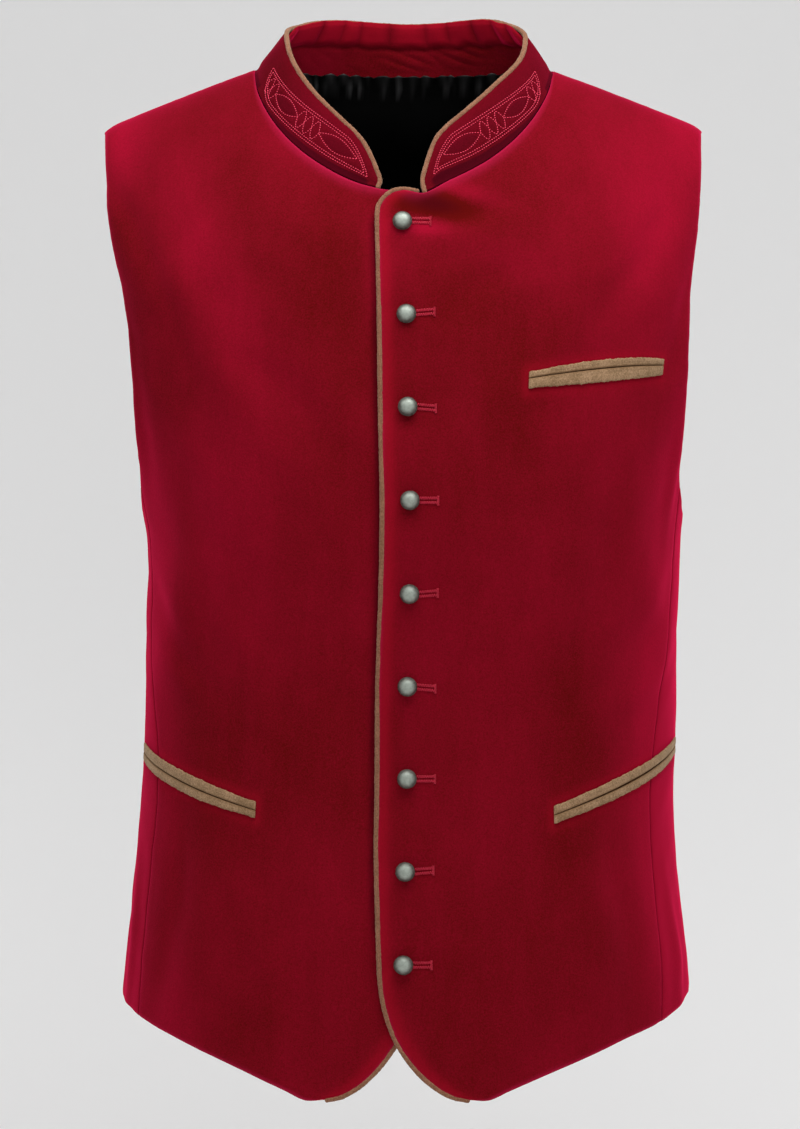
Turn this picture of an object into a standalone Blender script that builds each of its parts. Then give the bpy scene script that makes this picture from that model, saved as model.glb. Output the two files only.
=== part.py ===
"""Man's folk waistcoat of red velvet with a stand collar, nine domed buttons,
three double-welt pockets and a contrasting corded edge.  The garment keeps the
hollow form it has when worn.  Metres, +Z up; the front faces -Y and the
wearer's left is +X.  The origin is where the neck and shoulders carry it."""

import math

import bpy
import numpy as np

# ---------------------------------------------------------------- cloth
WALL = 0.0020            # velvet with its interlining
SEAM_GAP = 0.0003        # air between two pieces at a seam
TRIM_LIFT = 0.0004       # air between a panel and what is sewn on it

# ---------------------------------------------------------------- body of the garment
SQUARENESS = 2.3         # superellipse power of the horizontal rings
ROLL_POWER = 1.8         # superellipse power of the roll over the shoulder
ROLL_HEIGHT = 0.130      # height taken by the roll from ridge to chest
ROLL_LENGTH = 0.190      # length of cloth in that roll
RIDGE_TOP = 0.0213       # height of the shoulder ridge carried on to the centre
RIDGE_SLOPE = 0.42       # fall of the shoulder towards the arm
RIDGE_ROUND = 0.060      # how far the ridge is rounded at the neck
SHOULDER_REACH = 0.2085  # half width of the ring at shoulder height

RING_COLUMNS = ("height", "centre", "half_width", "front", "back")
RINGS = (
    (-0.690, 0.0015, 0.1840, 0.120, 0.111),
    (-0.610, 0.0015, 0.1833, 0.120, 0.111),
    (-0.580, 0.0015, 0.1815, 0.120, 0.110),
    (-0.540, 0.0010, 0.1772, 0.119, 0.107),
    (-0.475, 0.0020, 0.1723, 0.117, 0.101),
    (-0.410, 0.0045, 0.1712, 0.117, 0.099),
    (-0.345, 0.0055, 0.1713, 0.121, 0.105),
    (-0.305, 0.0060, 0.1720, 0.124, 0.111),
    (-0.266, 0.0049, 0.1785, 0.124, 0.115),
    (-0.214, 0.0044, 0.1912, 0.119, 0.117),
    (-0.150, 0.0022, 0.2018, 0.109, 0.115),
    (-0.084, 0.0006, 0.2076, 0.094, 0.111),
    (-0.040, -0.0006, 0.2085, 0.083, 0.108),
    (0.000, -0.0015, 0.2085, 0.074, 0.104),
    (0.060, -0.0015, 0.2085, 0.062, 0.100),
)

# soft hollows (negative) and swells of the hanging cloth
FOLD_COLUMNS = ("angle", "height", "angle_spread", "height_spread", "slant", "depth")
FOLDS = (
    (-60.0, -0.170, 9.0, 0.050, -0.10, -0.0022),
    (58.0, -0.185, 9.0, 0.045, 0.10, -0.0018),
    (-57.0, -0.345, 10.0, 0.060, 0.20, 0.0020),
    (60.0, -0.335, 9.0, 0.055, -0.20, 0.0018),
    (-24.0, -0.170, 9.0, 0.060, 0.25, 0.0014),
    (-40.0, -0.560, 8.0, 0.070, 0.00, 0.0018),
    (38.0, -0.570, 8.0, 0.065, 0.00, 0.0020),
    (0.0, -0.420, 14.0, 0.070, 0.00, -0.0016),
    (150.0, -0.300, 9.0, 0.110, 0.00, -0.0022),
    (-152.0, -0.320, 9.0, 0.100, 0.00, -0.0020),
)

# ---------------------------------------------------------------- edges and seams
NECK_HALF = 0.0970       # neck point to centre
NECK_DROP = 0.0810       # neck point down to the front neck
NECK_POWER = {1: 1.735, -1: 1.763}   # roundness of the neckline, wearer's left and right
NECK_DIP = {1: 0.0050, -1: 0.0}      # extra drop of the neckline at the collar's end
NECK_DIP_FADE = 0.0150   # distance over which that drop fades by two thirds
BACK_NECK = -0.0030      # height of the centre back neck
COLLAR_START = 0.0150    # collar end to the centre front
TIP_REACH = 0.1935       # shoulder tip to the centre
ARM_BOTTOM = -0.288      # lowest point of the armhole
ARM_CENTRE = 91.0        # angle of the armhole's middle
ARM_SPREAD = 26.0        # half width of the armhole, as an angle
ARM_TIP_SPREAD = 24.0    # half width at the shoulder tip
CUT_START = -0.572       # where the front edge begins to curve away
CUT_REACH = {1: 0.0626, -1: 0.0590}     # how far the curve runs sideways
CUT_POWER = 1.75         # superellipse power of the curve
POINT_HEIGHT = -0.6630   # lowest point of each front
CORNER_WIDTH = 0.0160    # rounded top corner of each front
CORNER_HEIGHT = 0.0160
HEM_CENTRE = {1: -0.6866, -1: -0.6915}   # front hem line carried on to the centre
HEM_SIDE = -0.6077
HEM_RISE = {1: 0.0150, -1: 0.0095}       # further rise of the hem round the side
HEM_BACK = -0.5920
SIDE_SEAM = 104.0        # angle of the seam between side and back
OVERLAP_LIFT = 0.0020    # each front leaves the common surface by this much
OVERLAP_FLAT = 0.0230    # as far as here from the centre
OVERLAP_END = 0.0600     # and rejoins it here

FRONT_LINE_COLUMNS = ("height", "middle", "overhang")
FRONT_LINE = (           # line of the buttons, and from it to the corded edge
    (-0.665, -0.0038, 0.0155),
    (-0.626, -0.0024, 0.0157),
    (-0.575, 0.0022, 0.0158),
    (-0.520, 0.0032, 0.0184),
    (-0.460, 0.0043, 0.0191),
    (-0.400, 0.0046, 0.0190),
    (-0.340, 0.0061, 0.0183),
    (-0.280, 0.0064, 0.0177),
    (-0.220, 0.0049, 0.0175),
    (-0.160, 0.0038, 0.0173),
    (-0.098, 0.0008, 0.0158),
)

SEAM_COLUMNS = ("height", "left", "right")
FRONT_SEAMS = (          # angle of the vertical seam on each side
    (-0.620, 61.8, 67.1),
    (-0.575, 63.4, 67.2),
    (-0.530, 64.5, 67.2),
    (-0.500, 64.1, 66.9),
    (-0.467, 63.6, 66.3),
    (-0.435, 65.0, 67.8),
    (-0.405, 68.2, 71.8),
    (-0.370, 71.4, 75.4),
    (-0.338, 75.2, 77.1),
    (-0.300, 77.5, 77.5),
    (-0.260, 78.0, 77.8),
)

# ---------------------------------------------------------------- collar
COLLAR_WALL = 0.0016
COLLAR_FOOT = 0.0016     # collar wall above the seam line
COLLAR_END_ROOM = 1.35   # wider gap to the cord where the collar's end is rounded
BAND_WALL = 0.0012
BAND_GAP = 0.0005
BAND_START = 0.36        # share of the half collar where the inner band begins
BAND_PUCKERS = 13
PUCKER_DEPTH = 0.0007
COLLAR_COLUMNS = ("along", "rise_right", "lean_right", "rise_left", "lean_left")
COLLAR_SECTIONS = (      # share of the half collar from its front end to the centre back
    (0.000, 0.0080, 28.0, 0.0118, 28.0),
    (0.020, 0.0175, 29.0, 0.0225, 29.0),
    (0.050, 0.0278, 31.0, 0.0328, 31.0),
    (0.090, 0.0334, 33.0, 0.0375, 33.0),
    (0.160, 0.0363, 35.0, 0.0394, 35.0),
    (0.300, 0.0357, 37.0, 0.0367, 35.5),
    (0.450, 0.0330, 39.0, 0.0298, 34.0),
    (0.580, 0.0338, 38.0, 0.0326, 35.5),
    (0.700, 0.0388, 31.0, 0.0402, 32.0),
    (0.800, 0.0389, 25.0, 0.0388, 25.0),
    (0.900, 0.0367, 19.0, 0.0362, 19.0),
    (1.000, 0.0350, 15.0, 0.0350, 15.0),
)
NECK_AXIS = -0.010       # depth of the neck's axis
LINING_WALL = 0.0010
LINING_GAP = 0.0008
LINING_MARGIN = 0.0015

# ---------------------------------------------------------------- trim
CORD_RADIUS = 0.0016
CORD_SIDES = 6
CORD_GAP = 0.0005
CORD_RUN = {1: 0.68, -1: 0.28}   # share of the front neck edge that the cord follows
WELT_WALL = 0.0013
WELT_SLIT = 0.0008
POCKET_COLUMNS = ("inner_angle", "outer_angle", "inner_height", "outer_height",
                  "bow", "upper", "lower")
POCKETS = {
    "breast_pocket": (20.4, 55.2, -0.2030, -0.1935, 0.0024, 0.0062, 0.0080),
    "hip_pocket_left": (30.4, 82.0, -0.4815, -0.4380, 0.0010, 0.0068, 0.0064),
    "hip_pocket_right": (-29.8, -79.0, -0.4785, -0.4425, 0.0000, 0.0070, 0.0062),
}

# ---------------------------------------------------------------- buttons
BUTTONS = 9
BUTTON_TOP = -0.1030     # height of the first button
BUTTON_SPACING = 0.0592
BUTTON_RADIUS = 0.0062
BUTTON_SIDES = 12
BUTTON_PROFILE = (       # radius and height as shares of the button's radius
    (0.72, 0.00),
    (1.00, 0.14),
    (1.00, 0.26),
    (0.90, 0.52),
    (0.64, 0.78),
    (0.32, 0.91),
)
BUTTON_CROWN = 0.95

# ---------------------------------------------------------------- grid sizes
HEM_ROWS = 12            # rows from the hem to the armhole
ARM_ROWS = 13            # rows along the armhole
NECK_COLUMNS = 8
SHOULDER_COLUMNS = 4
SIDE_COLUMNS = 4
BACK_NECK_COLUMNS = 8
EDGE_FADE = 2.5          # how fast the bends of a panel's side edges fade inwards
COLLAR_STATIONS = 44
COLLAR_ROWS = 3
WELT_COLUMNS = 12

# ---------------------------------------------------------------- colours
VELVET = ((0.165, 0.006, 0.016), 0.85, 0.0)
VELVET_INSIDE = ((0.110, 0.004, 0.010), 0.85, 0.0)
SATIN = ((0.004, 0.004, 0.005), 0.40, 0.0)
SUEDE = ((0.230, 0.135, 0.065), 0.90, 0.0)
PEWTER = ((0.300, 0.300, 0.290), 0.35, 1.0)


# ================================================================ interpolation
def column(table, columns, name):
    """One named column of a table, as an array."""
    return np.array(table, float)[:, columns.index(name)]


def smooth(x, knots, values):
    """Cubic Hermite curve through the knots, with the slopes of the neighbours."""
    x = np.clip(x, knots[0], knots[-1])
    slope = np.gradient(values, knots)
    i = np.clip(np.searchsorted(knots, x) - 1, 0, len(knots) - 2)
    step = knots[i + 1] - knots[i]
    t = (x - knots[i]) / step
    return ((1 + 2 * t) * (1 - t) ** 2 * values[i] + t * (1 - t) ** 2 * step * slope[i]
            + t ** 2 * (3 - 2 * t) * values[i + 1] - t ** 2 * (1 - t) * step * slope[i + 1])


def ring(height, name):
    """A size of the horizontal ring at this height."""
    return smooth(height, column(RINGS, RING_COLUMNS, "height"),
                  column(RINGS, RING_COLUMNS, name))


def ease(x, start, end):
    """0 before start, 1 after end, smooth between."""
    t = np.clip((x - start) / (end - start), 0, 1)
    return t * t * (3 - 2 * t)


def power(x, exponent):
    """|x| to a power, with the sign of x."""
    return np.sign(x) * np.abs(x) ** exponent


# ================================================================ the form of the body
def ridge(x):
    """Height of the shoulder ridge at a distance from the centre."""
    return RIDGE_TOP + RIDGE_SLOPE * (RIDGE_ROUND - np.hypot(x, RIDGE_ROUND))


def folds(angle, height):
    """Outward shift of the cloth by its soft folds."""
    shift = np.zeros(np.broadcast(angle, height).shape)
    for row in FOLDS:
        fold = dict(zip(FOLD_COLUMNS, row))
        across = np.degrees(angle) - fold["angle"] - fold["slant"] * (
            height - fold["height"]) * 1000
        reach = (across / fold["angle_spread"]) ** 2
        reach = reach + ((height - fold["height"]) / fold["height_spread"]) ** 2
        shift = shift + fold["depth"] * np.exp(-reach)
    return shift


def torso(angle, drop):
    """Middle of the cloth.  angle is 0 at the centre front and runs to the wearer's
    left; drop is the length of cloth down from the shoulder ridge."""
    angle, drop = np.broadcast_arrays(angle, drop)
    across = power(np.sin(angle), 2 / SQUARENESS)
    along = -power(np.cos(angle), 2 / SQUARENESS)
    roll = np.clip(drop / ROLL_LENGTH, 0, 1) * math.pi / 2
    fall = ROLL_HEIGHT * (1 - np.cos(roll) ** (2 / ROLL_POWER))
    fall = fall + np.maximum(drop - ROLL_LENGTH, 0)
    bulge = np.sin(roll) ** (2 / ROLL_POWER)
    height = ridge(across * SHOULDER_REACH) - fall
    depth = np.where(along < 0, ring(height, "front"), ring(height, "back"))
    shift = folds(angle, height) * bulge
    x = ring(height, "centre") + ring(height, "half_width") * across + shift * np.sin(angle)
    y = depth * along * bulge - shift * np.cos(angle)
    return np.stack([x, y, height], -1)


def locate(x, height, back=False):
    """The angle and drop of the point seen at x and this height."""
    across = np.clip((x - ring(height, "centre")) / ring(height, "half_width"), -1, 1)
    angle = np.arcsin(power(across, SQUARENESS / 2))
    if back:
        angle = np.where(angle < 0, -math.pi - angle, math.pi - angle)
    return np.stack([angle, drop_at(across, height)], -1)


def drop_at(across, height):
    """Length of cloth from the ridge down to this height."""
    fall = np.maximum(ridge(across * SHOULDER_REACH) - height, 0)
    rest = np.clip(1 - fall / ROLL_HEIGHT, 0, 1)
    roll = np.arccos(rest ** (ROLL_POWER / 2))
    return ROLL_LENGTH * roll * 2 / math.pi + np.maximum(fall - ROLL_HEIGHT, 0)


def at_angle(degrees, height):
    """The angle and drop of the point at an angle and a height."""
    angle = np.radians(degrees) + 0 * height
    across = power(np.sin(angle), 2 / SQUARENESS)
    return np.stack([angle, drop_at(across, height)], -1)


def normals(grid):
    """Unit normals of a grid of points, from the steps along its two directions."""
    normal = np.cross(np.gradient(grid, axis=0), np.gradient(grid, axis=1))
    return normal / np.linalg.norm(normal, axis=-1, keepdims=True)


def outward(angle, drop):
    """Unit normal of the body, pointing away from the wearer."""
    step = 0.002
    turn = torso(angle + step, drop) - torso(angle - step, drop)
    down = torso(angle, drop + step) - torso(angle, np.maximum(drop - step, 0))
    normal = np.cross(down, turn)
    return normal / np.linalg.norm(normal, axis=-1, keepdims=True)


def front_line(height, name):
    """A value of the line of buttons at this height."""
    return smooth(height, column(FRONT_LINE, FRONT_LINE_COLUMNS, "height"),
                  column(FRONT_LINE, FRONT_LINE_COLUMNS, name))


def centre_front(height):
    """x of the line of buttons."""
    return front_line(height, "middle")


def front_cloth(side, places):
    """Points of a front: the wearer's left one (side 1) lies over the right one."""
    points = torso(places[..., 0], places[..., 1])
    reach = side * (points[..., 0] - centre_front(points[..., 2]))
    lift = side * OVERLAP_LIFT * (1 - ease(reach, OVERLAP_FLAT, OVERLAP_END))
    return points + lift[..., None] * outward(places[..., 0], places[..., 1])


# ================================================================ the cutting lines
def stations(count, first=False):
    """Even shares from 0 to 1, without the first unless it is asked for."""
    shares = np.linspace(0, 1, count + 1)
    return shares if first else shares[1:]


def armhole(share, side, back=False):
    """Armhole from its bottom (0) to the shoulder tip (1): an ellipse below, then
    narrowing towards the tip."""
    share = np.asarray(share, float)
    tip = ridge(TIP_REACH)
    height = ARM_BOTTOM + (tip - ARM_BOTTOM) * share
    low = np.sqrt(np.maximum(1 - (1 - 2 * np.minimum(share, 0.5)) ** 2, 0))
    high = (ARM_SPREAD - ARM_TIP_SPREAD) * np.maximum(2 * share - 1, 0) ** 2
    spread = ARM_SPREAD * low - high
    angle = ARM_CENTRE + (spread if back else -spread)
    places = at_angle(side * angle, height)
    places[share == 1, 1] = 0
    return places


def arm_share(spread):
    """Share of the armhole's height at which it is this wide on one side."""
    return (1 - math.sqrt(1 - (spread / ARM_SPREAD) ** 2)) / 2


def seam_angle(side, height):
    """Angle of the vertical seam between front and side."""
    return smooth(height, column(FRONT_SEAMS, SEAM_COLUMNS, "height"),
                  column(FRONT_SEAMS, SEAM_COLUMNS, "left" if side > 0 else "right"))


def hem_height(side, degrees):
    """Height of the hem on one side: pointed in front, level behind."""
    degrees = np.abs(degrees)
    across = power(np.sin(np.radians(degrees)), 2 / SQUARENESS)
    front = HEM_CENTRE[side] + (HEM_SIDE - HEM_CENTRE[side]) * across
    behind = HEM_SIDE + HEM_RISE[side]
    back = behind + (HEM_BACK - behind) * ease(degrees, SIDE_SEAM, 150)
    return np.where(degrees < 90, front, back - HEM_RISE[side]) + HEM_RISE[side] * ease(
        degrees, 56, SIDE_SEAM)


def seam_line(side, name):
    """A seam from the hem up to the armhole."""
    top_angle = {"front": seam_angle(side, ARM_BOTTOM + 0.02), "back": SIDE_SEAM}[name]
    top_share = arm_share(abs(top_angle - ARM_CENTRE))
    top = ARM_BOTTOM + (ridge(TIP_REACH) - ARM_BOTTOM) * top_share
    hem_angle = seam_angle(side, HEM_SIDE) if name == "front" else SIDE_SEAM
    foot = hem_height(side, hem_angle)
    height = foot + (top - foot) * stations(HEM_ROWS, True)
    angle = np.full(height.shape, SIDE_SEAM)
    if name == "front":
        angle = seam_angle(side, height)
        angle[-1] = top_angle
    return at_angle(side * angle, height), top_share


def side_edge(side, name):
    """A panel's outer edge: the seam, then the armhole up to the shoulder tip."""
    seam, share = seam_line(side, name)
    rest = share + (1 - share) * stations(ARM_ROWS) ** 1.15
    return np.concatenate([seam, armhole(rest, side, back=name == "back")])


def shoulder_line(side, back=False):
    """Shoulder seam from the neck point to the tip, along the ridge."""
    x = side * (NECK_HALF + (TIP_REACH - NECK_HALF) * stations(SHOULDER_COLUMNS))
    places = locate(x, ridge(x), back)
    places[:, 1] = 0
    return places


def neck_line(side, count):
    """Front neckline from the collar's end to the neck point."""
    bend = 2 / NECK_POWER[side]
    start = math.acos((COLLAR_START / NECK_HALF) ** (1 / bend))
    turn = np.linspace(start, 0, count + 1)
    x = side * NECK_HALF * np.cos(turn) ** bend
    height = -NECK_DROP * np.sin(turn) ** bend
    height -= NECK_DIP[side] * np.exp((COLLAR_START - np.abs(x)) / NECK_DIP_FADE)
    places = locate(x, height)
    places[-1, 1] = 0
    return places


def back_neck_line(side, count):
    """Back neckline from the neck point to the centre back."""
    turn = np.linspace(0, math.pi / 2, count + 1)
    x = side * NECK_HALF * np.cos(turn)
    height = BACK_NECK * np.sin(turn)
    places = locate(x, height, back=True)
    places[0, 1] = 0
    places[-1, 0] = side * math.pi
    return places


def front_edge(side):
    """Corded edge of a front, from its point up to the centre front neck."""
    lower = ARM_BOTTOM - 0.045
    turn = np.linspace(0, math.pi / 2, 8)
    bend = 2 / CUT_POWER
    cut_reach = CUT_REACH[side] * (1 - np.sin(turn) ** bend)
    cut_height = CUT_START + (POINT_HEIGHT - CUT_START) * np.cos(turn) ** bend
    low = np.linspace(CUT_START, lower, 8)[1:]
    top = -NECK_DROP - 0.0010 - CORNER_HEIGHT
    high = np.linspace(lower, top, 9)[1:]
    round_turn = np.linspace(0, math.pi / 2, 4)[1:]
    corner_x = CORNER_WIDTH * (1 - np.cos(round_turn))
    corner_z = top + CORNER_HEIGHT * np.sin(round_turn)
    height = np.concatenate([cut_height, low, high, corner_z])
    reach = np.concatenate([cut_reach, 0 * low, 0 * high, corner_x])
    reach = reach - front_line(height, "overhang")
    return locate(centre_front(height) + side * reach, height)


def patch(bottom, top, start, end):
    """Grid filled in between four edges; bottom and top run from start to end, start
    and end run from bottom to top.  The bends of start and end fade inwards."""
    u = np.linspace(0, 1, len(bottom))[:, None, None]
    v = np.linspace(0, 1, len(start))[None, :, None]
    upward = (1 - v) * bottom[:, None] + v * top[:, None]
    start_bend = start[None] - (1 - v) * start[0] - v * start[-1]
    end_bend = end[None] - (1 - v) * end[0] - v * end[-1]
    return upward + (1 - u) ** EDGE_FADE * start_bend + u ** EDGE_FADE * end_bend


def front_places(side):
    """Cut of a front in angle and drop."""
    start = front_edge(side)
    end = side_edge(side, "front")
    neck = neck_line(side, NECK_COLUMNS)
    top = np.concatenate([start[-1:], neck, shoulder_line(side)])
    degrees = np.degrees(np.linspace(start[0, 0], end[0, 0], len(top)))
    bottom = at_angle(degrees, hem_height(side, degrees))
    bottom[0] = start[0]
    bottom[-1] = end[0]
    top[-1] = end[-1]
    return patch(bottom, top, start, end)


def side_places(side):
    """Cut of a side, between the vertical seam and the side seam."""
    start, share = seam_line(side, "front")
    end, back_share = seam_line(side, "back")
    low, high = abs(np.degrees(start[-1, 0])), abs(np.degrees(end[-1, 0]))
    degrees = side * (low + (high - low) * stations(SIDE_COLUMNS, True))
    spread = np.abs(np.abs(degrees) - ARM_CENTRE)
    shares = np.array([arm_share(value) for value in spread])
    top = at_angle(degrees, ARM_BOTTOM + (ridge(TIP_REACH) - ARM_BOTTOM) * shares)
    degrees = np.degrees(np.linspace(start[0, 0], end[0, 0], SIDE_COLUMNS + 1))
    bottom = at_angle(degrees, hem_height(side, degrees))
    return patch(bottom, top, start, end)


def back_places():
    """Cut of the back, from the wearer's right seam round to the left one."""
    start = side_edge(-1, "back")
    end = side_edge(1, "back")
    left_neck = back_neck_line(1, BACK_NECK_COLUMNS // 2)[::-1]
    right_neck = back_neck_line(-1, BACK_NECK_COLUMNS // 2)
    top = np.concatenate([shoulder_line(-1, True)[::-1], right_neck, left_neck[1:],
                          shoulder_line(1, True)])
    start[:, 0] += 2 * math.pi
    top[top[:, 0] < 0, 0] += 2 * math.pi
    top[0] = start[-1]
    top[-1] = end[-1]
    degrees = np.degrees(np.linspace(start[0, 0], end[0, 0], len(top)))
    height = np.where(degrees > 180, hem_height(-1, 360 - degrees), hem_height(1, degrees))
    bottom = at_angle(degrees, height)
    return patch(bottom, top, start, end)


# ================================================================ solids
def pull_in(grid, side, distance):
    """Move one edge of a grid into the panel by a distance, or by one for each point."""
    view = {"start": grid, "end": grid[::-1], "bottom": grid.swapaxes(0, 1),
            "top": grid.swapaxes(0, 1)[::-1]}[side]
    edge = view[0]
    along = np.gradient(edge, axis=0)
    along /= np.linalg.norm(along, axis=-1, keepdims=True)
    inward = view[2] - edge
    inward = inward - along * (inward * along).sum(-1, keepdims=True)
    inward /= np.linalg.norm(inward, axis=-1, keepdims=True)
    view[0] = edge + np.broadcast_to(distance, len(edge))[:, None] * inward


def make_object(name, points, faces, look):
    """Mesh object with its own material."""
    mesh = bpy.data.meshes.new(name)
    mesh.from_pydata([tuple(p) for p in points], [], faces)
    mesh.update()
    mesh.shade_smooth()
    mesh.set_sharp_from_angle(angle=math.radians(40))
    material = bpy.data.materials.new(name)
    material.use_nodes = True
    surface = material.node_tree.nodes["Principled BSDF"]
    colour, rough, metal = look
    surface.inputs["Base Color"].default_value = (*colour, 1.0)
    surface.inputs["Roughness"].default_value = rough
    surface.inputs["Metallic"].default_value = metal
    mesh.materials.append(material)
    item = bpy.data.objects.new(name, mesh)
    bpy.context.scene.collection.objects.link(item)
    return item


def split_quad(points, a, b, c, d):
    """Two triangles of a quad, cut along its shorter diagonal."""
    if np.linalg.norm(points[a] - points[c]) <= np.linalg.norm(points[b] - points[d]):
        return [(a, b, c), (a, c, d)]
    return [(a, b, d), (b, c, d)]


def slab(name, outer, inner, look):
    """Closed wall between two grids of the same size; outer has its normals towards
    the outside."""
    columns, rows = outer.shape[:2]
    points = np.concatenate([outer.reshape(-1, 3), inner.reshape(-1, 3)])
    index = np.arange(columns * rows).reshape(columns, rows)
    under = columns * rows
    faces = []
    for i in range(columns - 1):
        for j in range(rows - 1):
            quad = (index[i, j], index[i + 1, j], index[i + 1, j + 1], index[i, j + 1])
            for tri in split_quad(points, *quad):
                faces.append(tri)
                faces.append(tuple(under + k for k in reversed(tri)))
    loop = [index[i, 0] for i in range(columns)]
    loop += [index[-1, j] for j in range(1, rows)]
    loop += [index[i, -1] for i in range(columns - 2, -1, -1)]
    loop += [index[0, j] for j in range(rows - 2, 0, -1)]
    for k, here in enumerate(loop):
        after = loop[(k + 1) % len(loop)]
        faces += split_quad(points, after, here, here + under, after + under)
    return make_object(name, points, [tuple(int(k) for k in f) for f in faces], look)


def panel(name, grid, normal, look, wall=WALL, shift=0.0):
    """Wall of even thickness about a grid of points with their outward normals."""
    outer = grid + (shift + wall / 2) * normal
    inner = grid + (shift - wall / 2) * normal
    if (normals(grid) * normal).sum() < 0:
        outer, inner = outer[::-1], inner[::-1]
    return slab(name, outer, inner, look)


def cord(name, path, look):
    """Round cord along a path, with flat ends."""
    tangent = np.gradient(path, axis=0)
    tangent /= np.linalg.norm(tangent, axis=-1, keepdims=True)
    side = np.cross(tangent[0], (0.3, 0.2, 0.9))
    rings = []
    for point, way in zip(path, tangent):
        side = side - way * side.dot(way)
        side /= np.linalg.norm(side)
        up = np.cross(way, side)
        turn = np.arange(CORD_SIDES) * 2 * math.pi / CORD_SIDES
        rings.append(point + CORD_RADIUS * (np.cos(turn)[:, None] * side
                                            + np.sin(turn)[:, None] * up))
    points = np.concatenate(rings)
    faces = [tuple(reversed(range(CORD_SIDES)))]
    faces.append(tuple(len(points) - CORD_SIDES + k for k in range(CORD_SIDES)))
    for i in range(len(path) - 1):
        for k in range(CORD_SIDES):
            m = (k + 1) % CORD_SIDES
            low, high = i * CORD_SIDES, (i + 1) * CORD_SIDES
            faces.append((low + k, low + m, high + m, high + k))
    return make_object(name, points, faces, look)


def even(path, count):
    """The same path with even steps."""
    length = np.concatenate([[0], np.cumsum(np.linalg.norm(np.diff(path, axis=0), axis=1))])
    want = np.linspace(0, length[-1], count)
    return np.stack([np.interp(want, length, path[:, k]) for k in range(3)], -1)


# ================================================================ sub-parts
def build_front(side, name):
    places = front_places(side)
    grid = front_cloth(side, places)
    cord_room = CORD_RADIUS + CORD_GAP
    top_room = np.full(grid.shape[0], SEAM_GAP / 2)
    top_room[:2] = cord_room
    edge_room = np.full(grid.shape[1], cord_room)
    edge_room[-1] = 0
    pull_in(grid, "top", top_room)
    pull_in(grid, "start", edge_room)
    pull_in(grid, "end", SEAM_GAP / 2)
    panel(name, grid, outward(places[..., 0], places[..., 1]), VELVET)


def build_side(side, name):
    places = side_places(side)
    grid = torso(places[..., 0], places[..., 1])
    for edge in ("start", "end"):
        pull_in(grid, edge, SEAM_GAP / 2)
    panel(name, grid, outward(places[..., 0], places[..., 1]), VELVET)


def build_back(side, name):
    """Half of the back, from the side seam to the seam down its centre."""
    places = back_places()
    middle = len(places) // 2
    places = places[middle:] if side > 0 else places[:middle + 1]
    grid = torso(places[..., 0], places[..., 1])
    for edge in ("start", "end", "top"):
        pull_in(grid, edge, SEAM_GAP / 2)
    panel(name, grid, outward(places[..., 0], places[..., 1]), VELVET)


def build_front_cord(side, name):
    points = front_cloth(side, front_edge(side))
    neck = front_cloth(side, neck_line(side, NECK_COLUMNS)[:1])
    run = points[-1] + (neck - points[-1]) * CORD_RUN[side]
    cord(name, np.concatenate([points, run]), SUEDE)


def collar_base():
    """Seam between collar and body, from the wearer's right end round the back."""
    right = front_cloth(-1, neck_line(-1, 24))
    left = front_cloth(1, neck_line(1, 24))
    back = [torso(*back_neck_line(side, 24).T) for side in (-1, 1)]
    path = np.concatenate([right, back[0][1:], back[1][::-1][1:], left[::-1][1:]])
    return even(path, COLLAR_STATIONS + 1)


def collar_section(along, name):
    """A size of the collar at a share of its half length."""
    return smooth(along, column(COLLAR_SECTIONS, COLLAR_COLUMNS, "along"),
                  column(COLLAR_SECTIONS, COLLAR_COLUMNS, name))


def collar_lines():
    """Base points, unit directions up the collar, and its height at each station."""
    base = collar_base()
    station = np.linspace(-1, 1, len(base))
    along = 1 - np.abs(station)
    lean = np.radians(np.where(station < 0, collar_section(along, "lean_right"),
                               collar_section(along, "lean_left")))[:, None]
    rise = np.where(station < 0, collar_section(along, "rise_right"),
                    collar_section(along, "rise_left"))
    inward = np.array([0.0, NECK_AXIS, 0.0]) - base
    inward[:, 2] = 0
    inward /= np.linalg.norm(inward, axis=1, keepdims=True)
    way = np.sin(lean) * inward + np.cos(lean) * np.array([0.0, 0.0, 1.0])
    return base, way, rise, along


def collar_reach(rise, along):
    """Length of cloth between the collar's foot and its cord."""
    room = (CORD_RADIUS + CORD_GAP) * (1 + COLLAR_END_ROOM * (1 - ease(along, 0, 0.12)))
    return rise - COLLAR_FOOT - room


def collar_normals(grid):
    """Normals of the collar, pointing away from the neck."""
    normal = normals(grid)
    centre = np.array([0.0, NECK_AXIS, 0.0]) - grid
    return -normal if (normal * centre).sum() > 0 else normal


def build_collar():
    base, way, rise, along = collar_lines()
    share = np.linspace(0, 1, COLLAR_ROWS + 1)[None, :]
    reach = COLLAR_FOOT + collar_reach(rise, along)[:, None] * share
    grid = base[:, None] + reach[..., None] * way[:, None]
    normal = collar_normals(grid)
    for edge in ("start", "end"):
        pull_in(grid, edge, CORD_RADIUS + CORD_GAP)
    panel("collar", grid, normal, VELVET, COLLAR_WALL)


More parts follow.
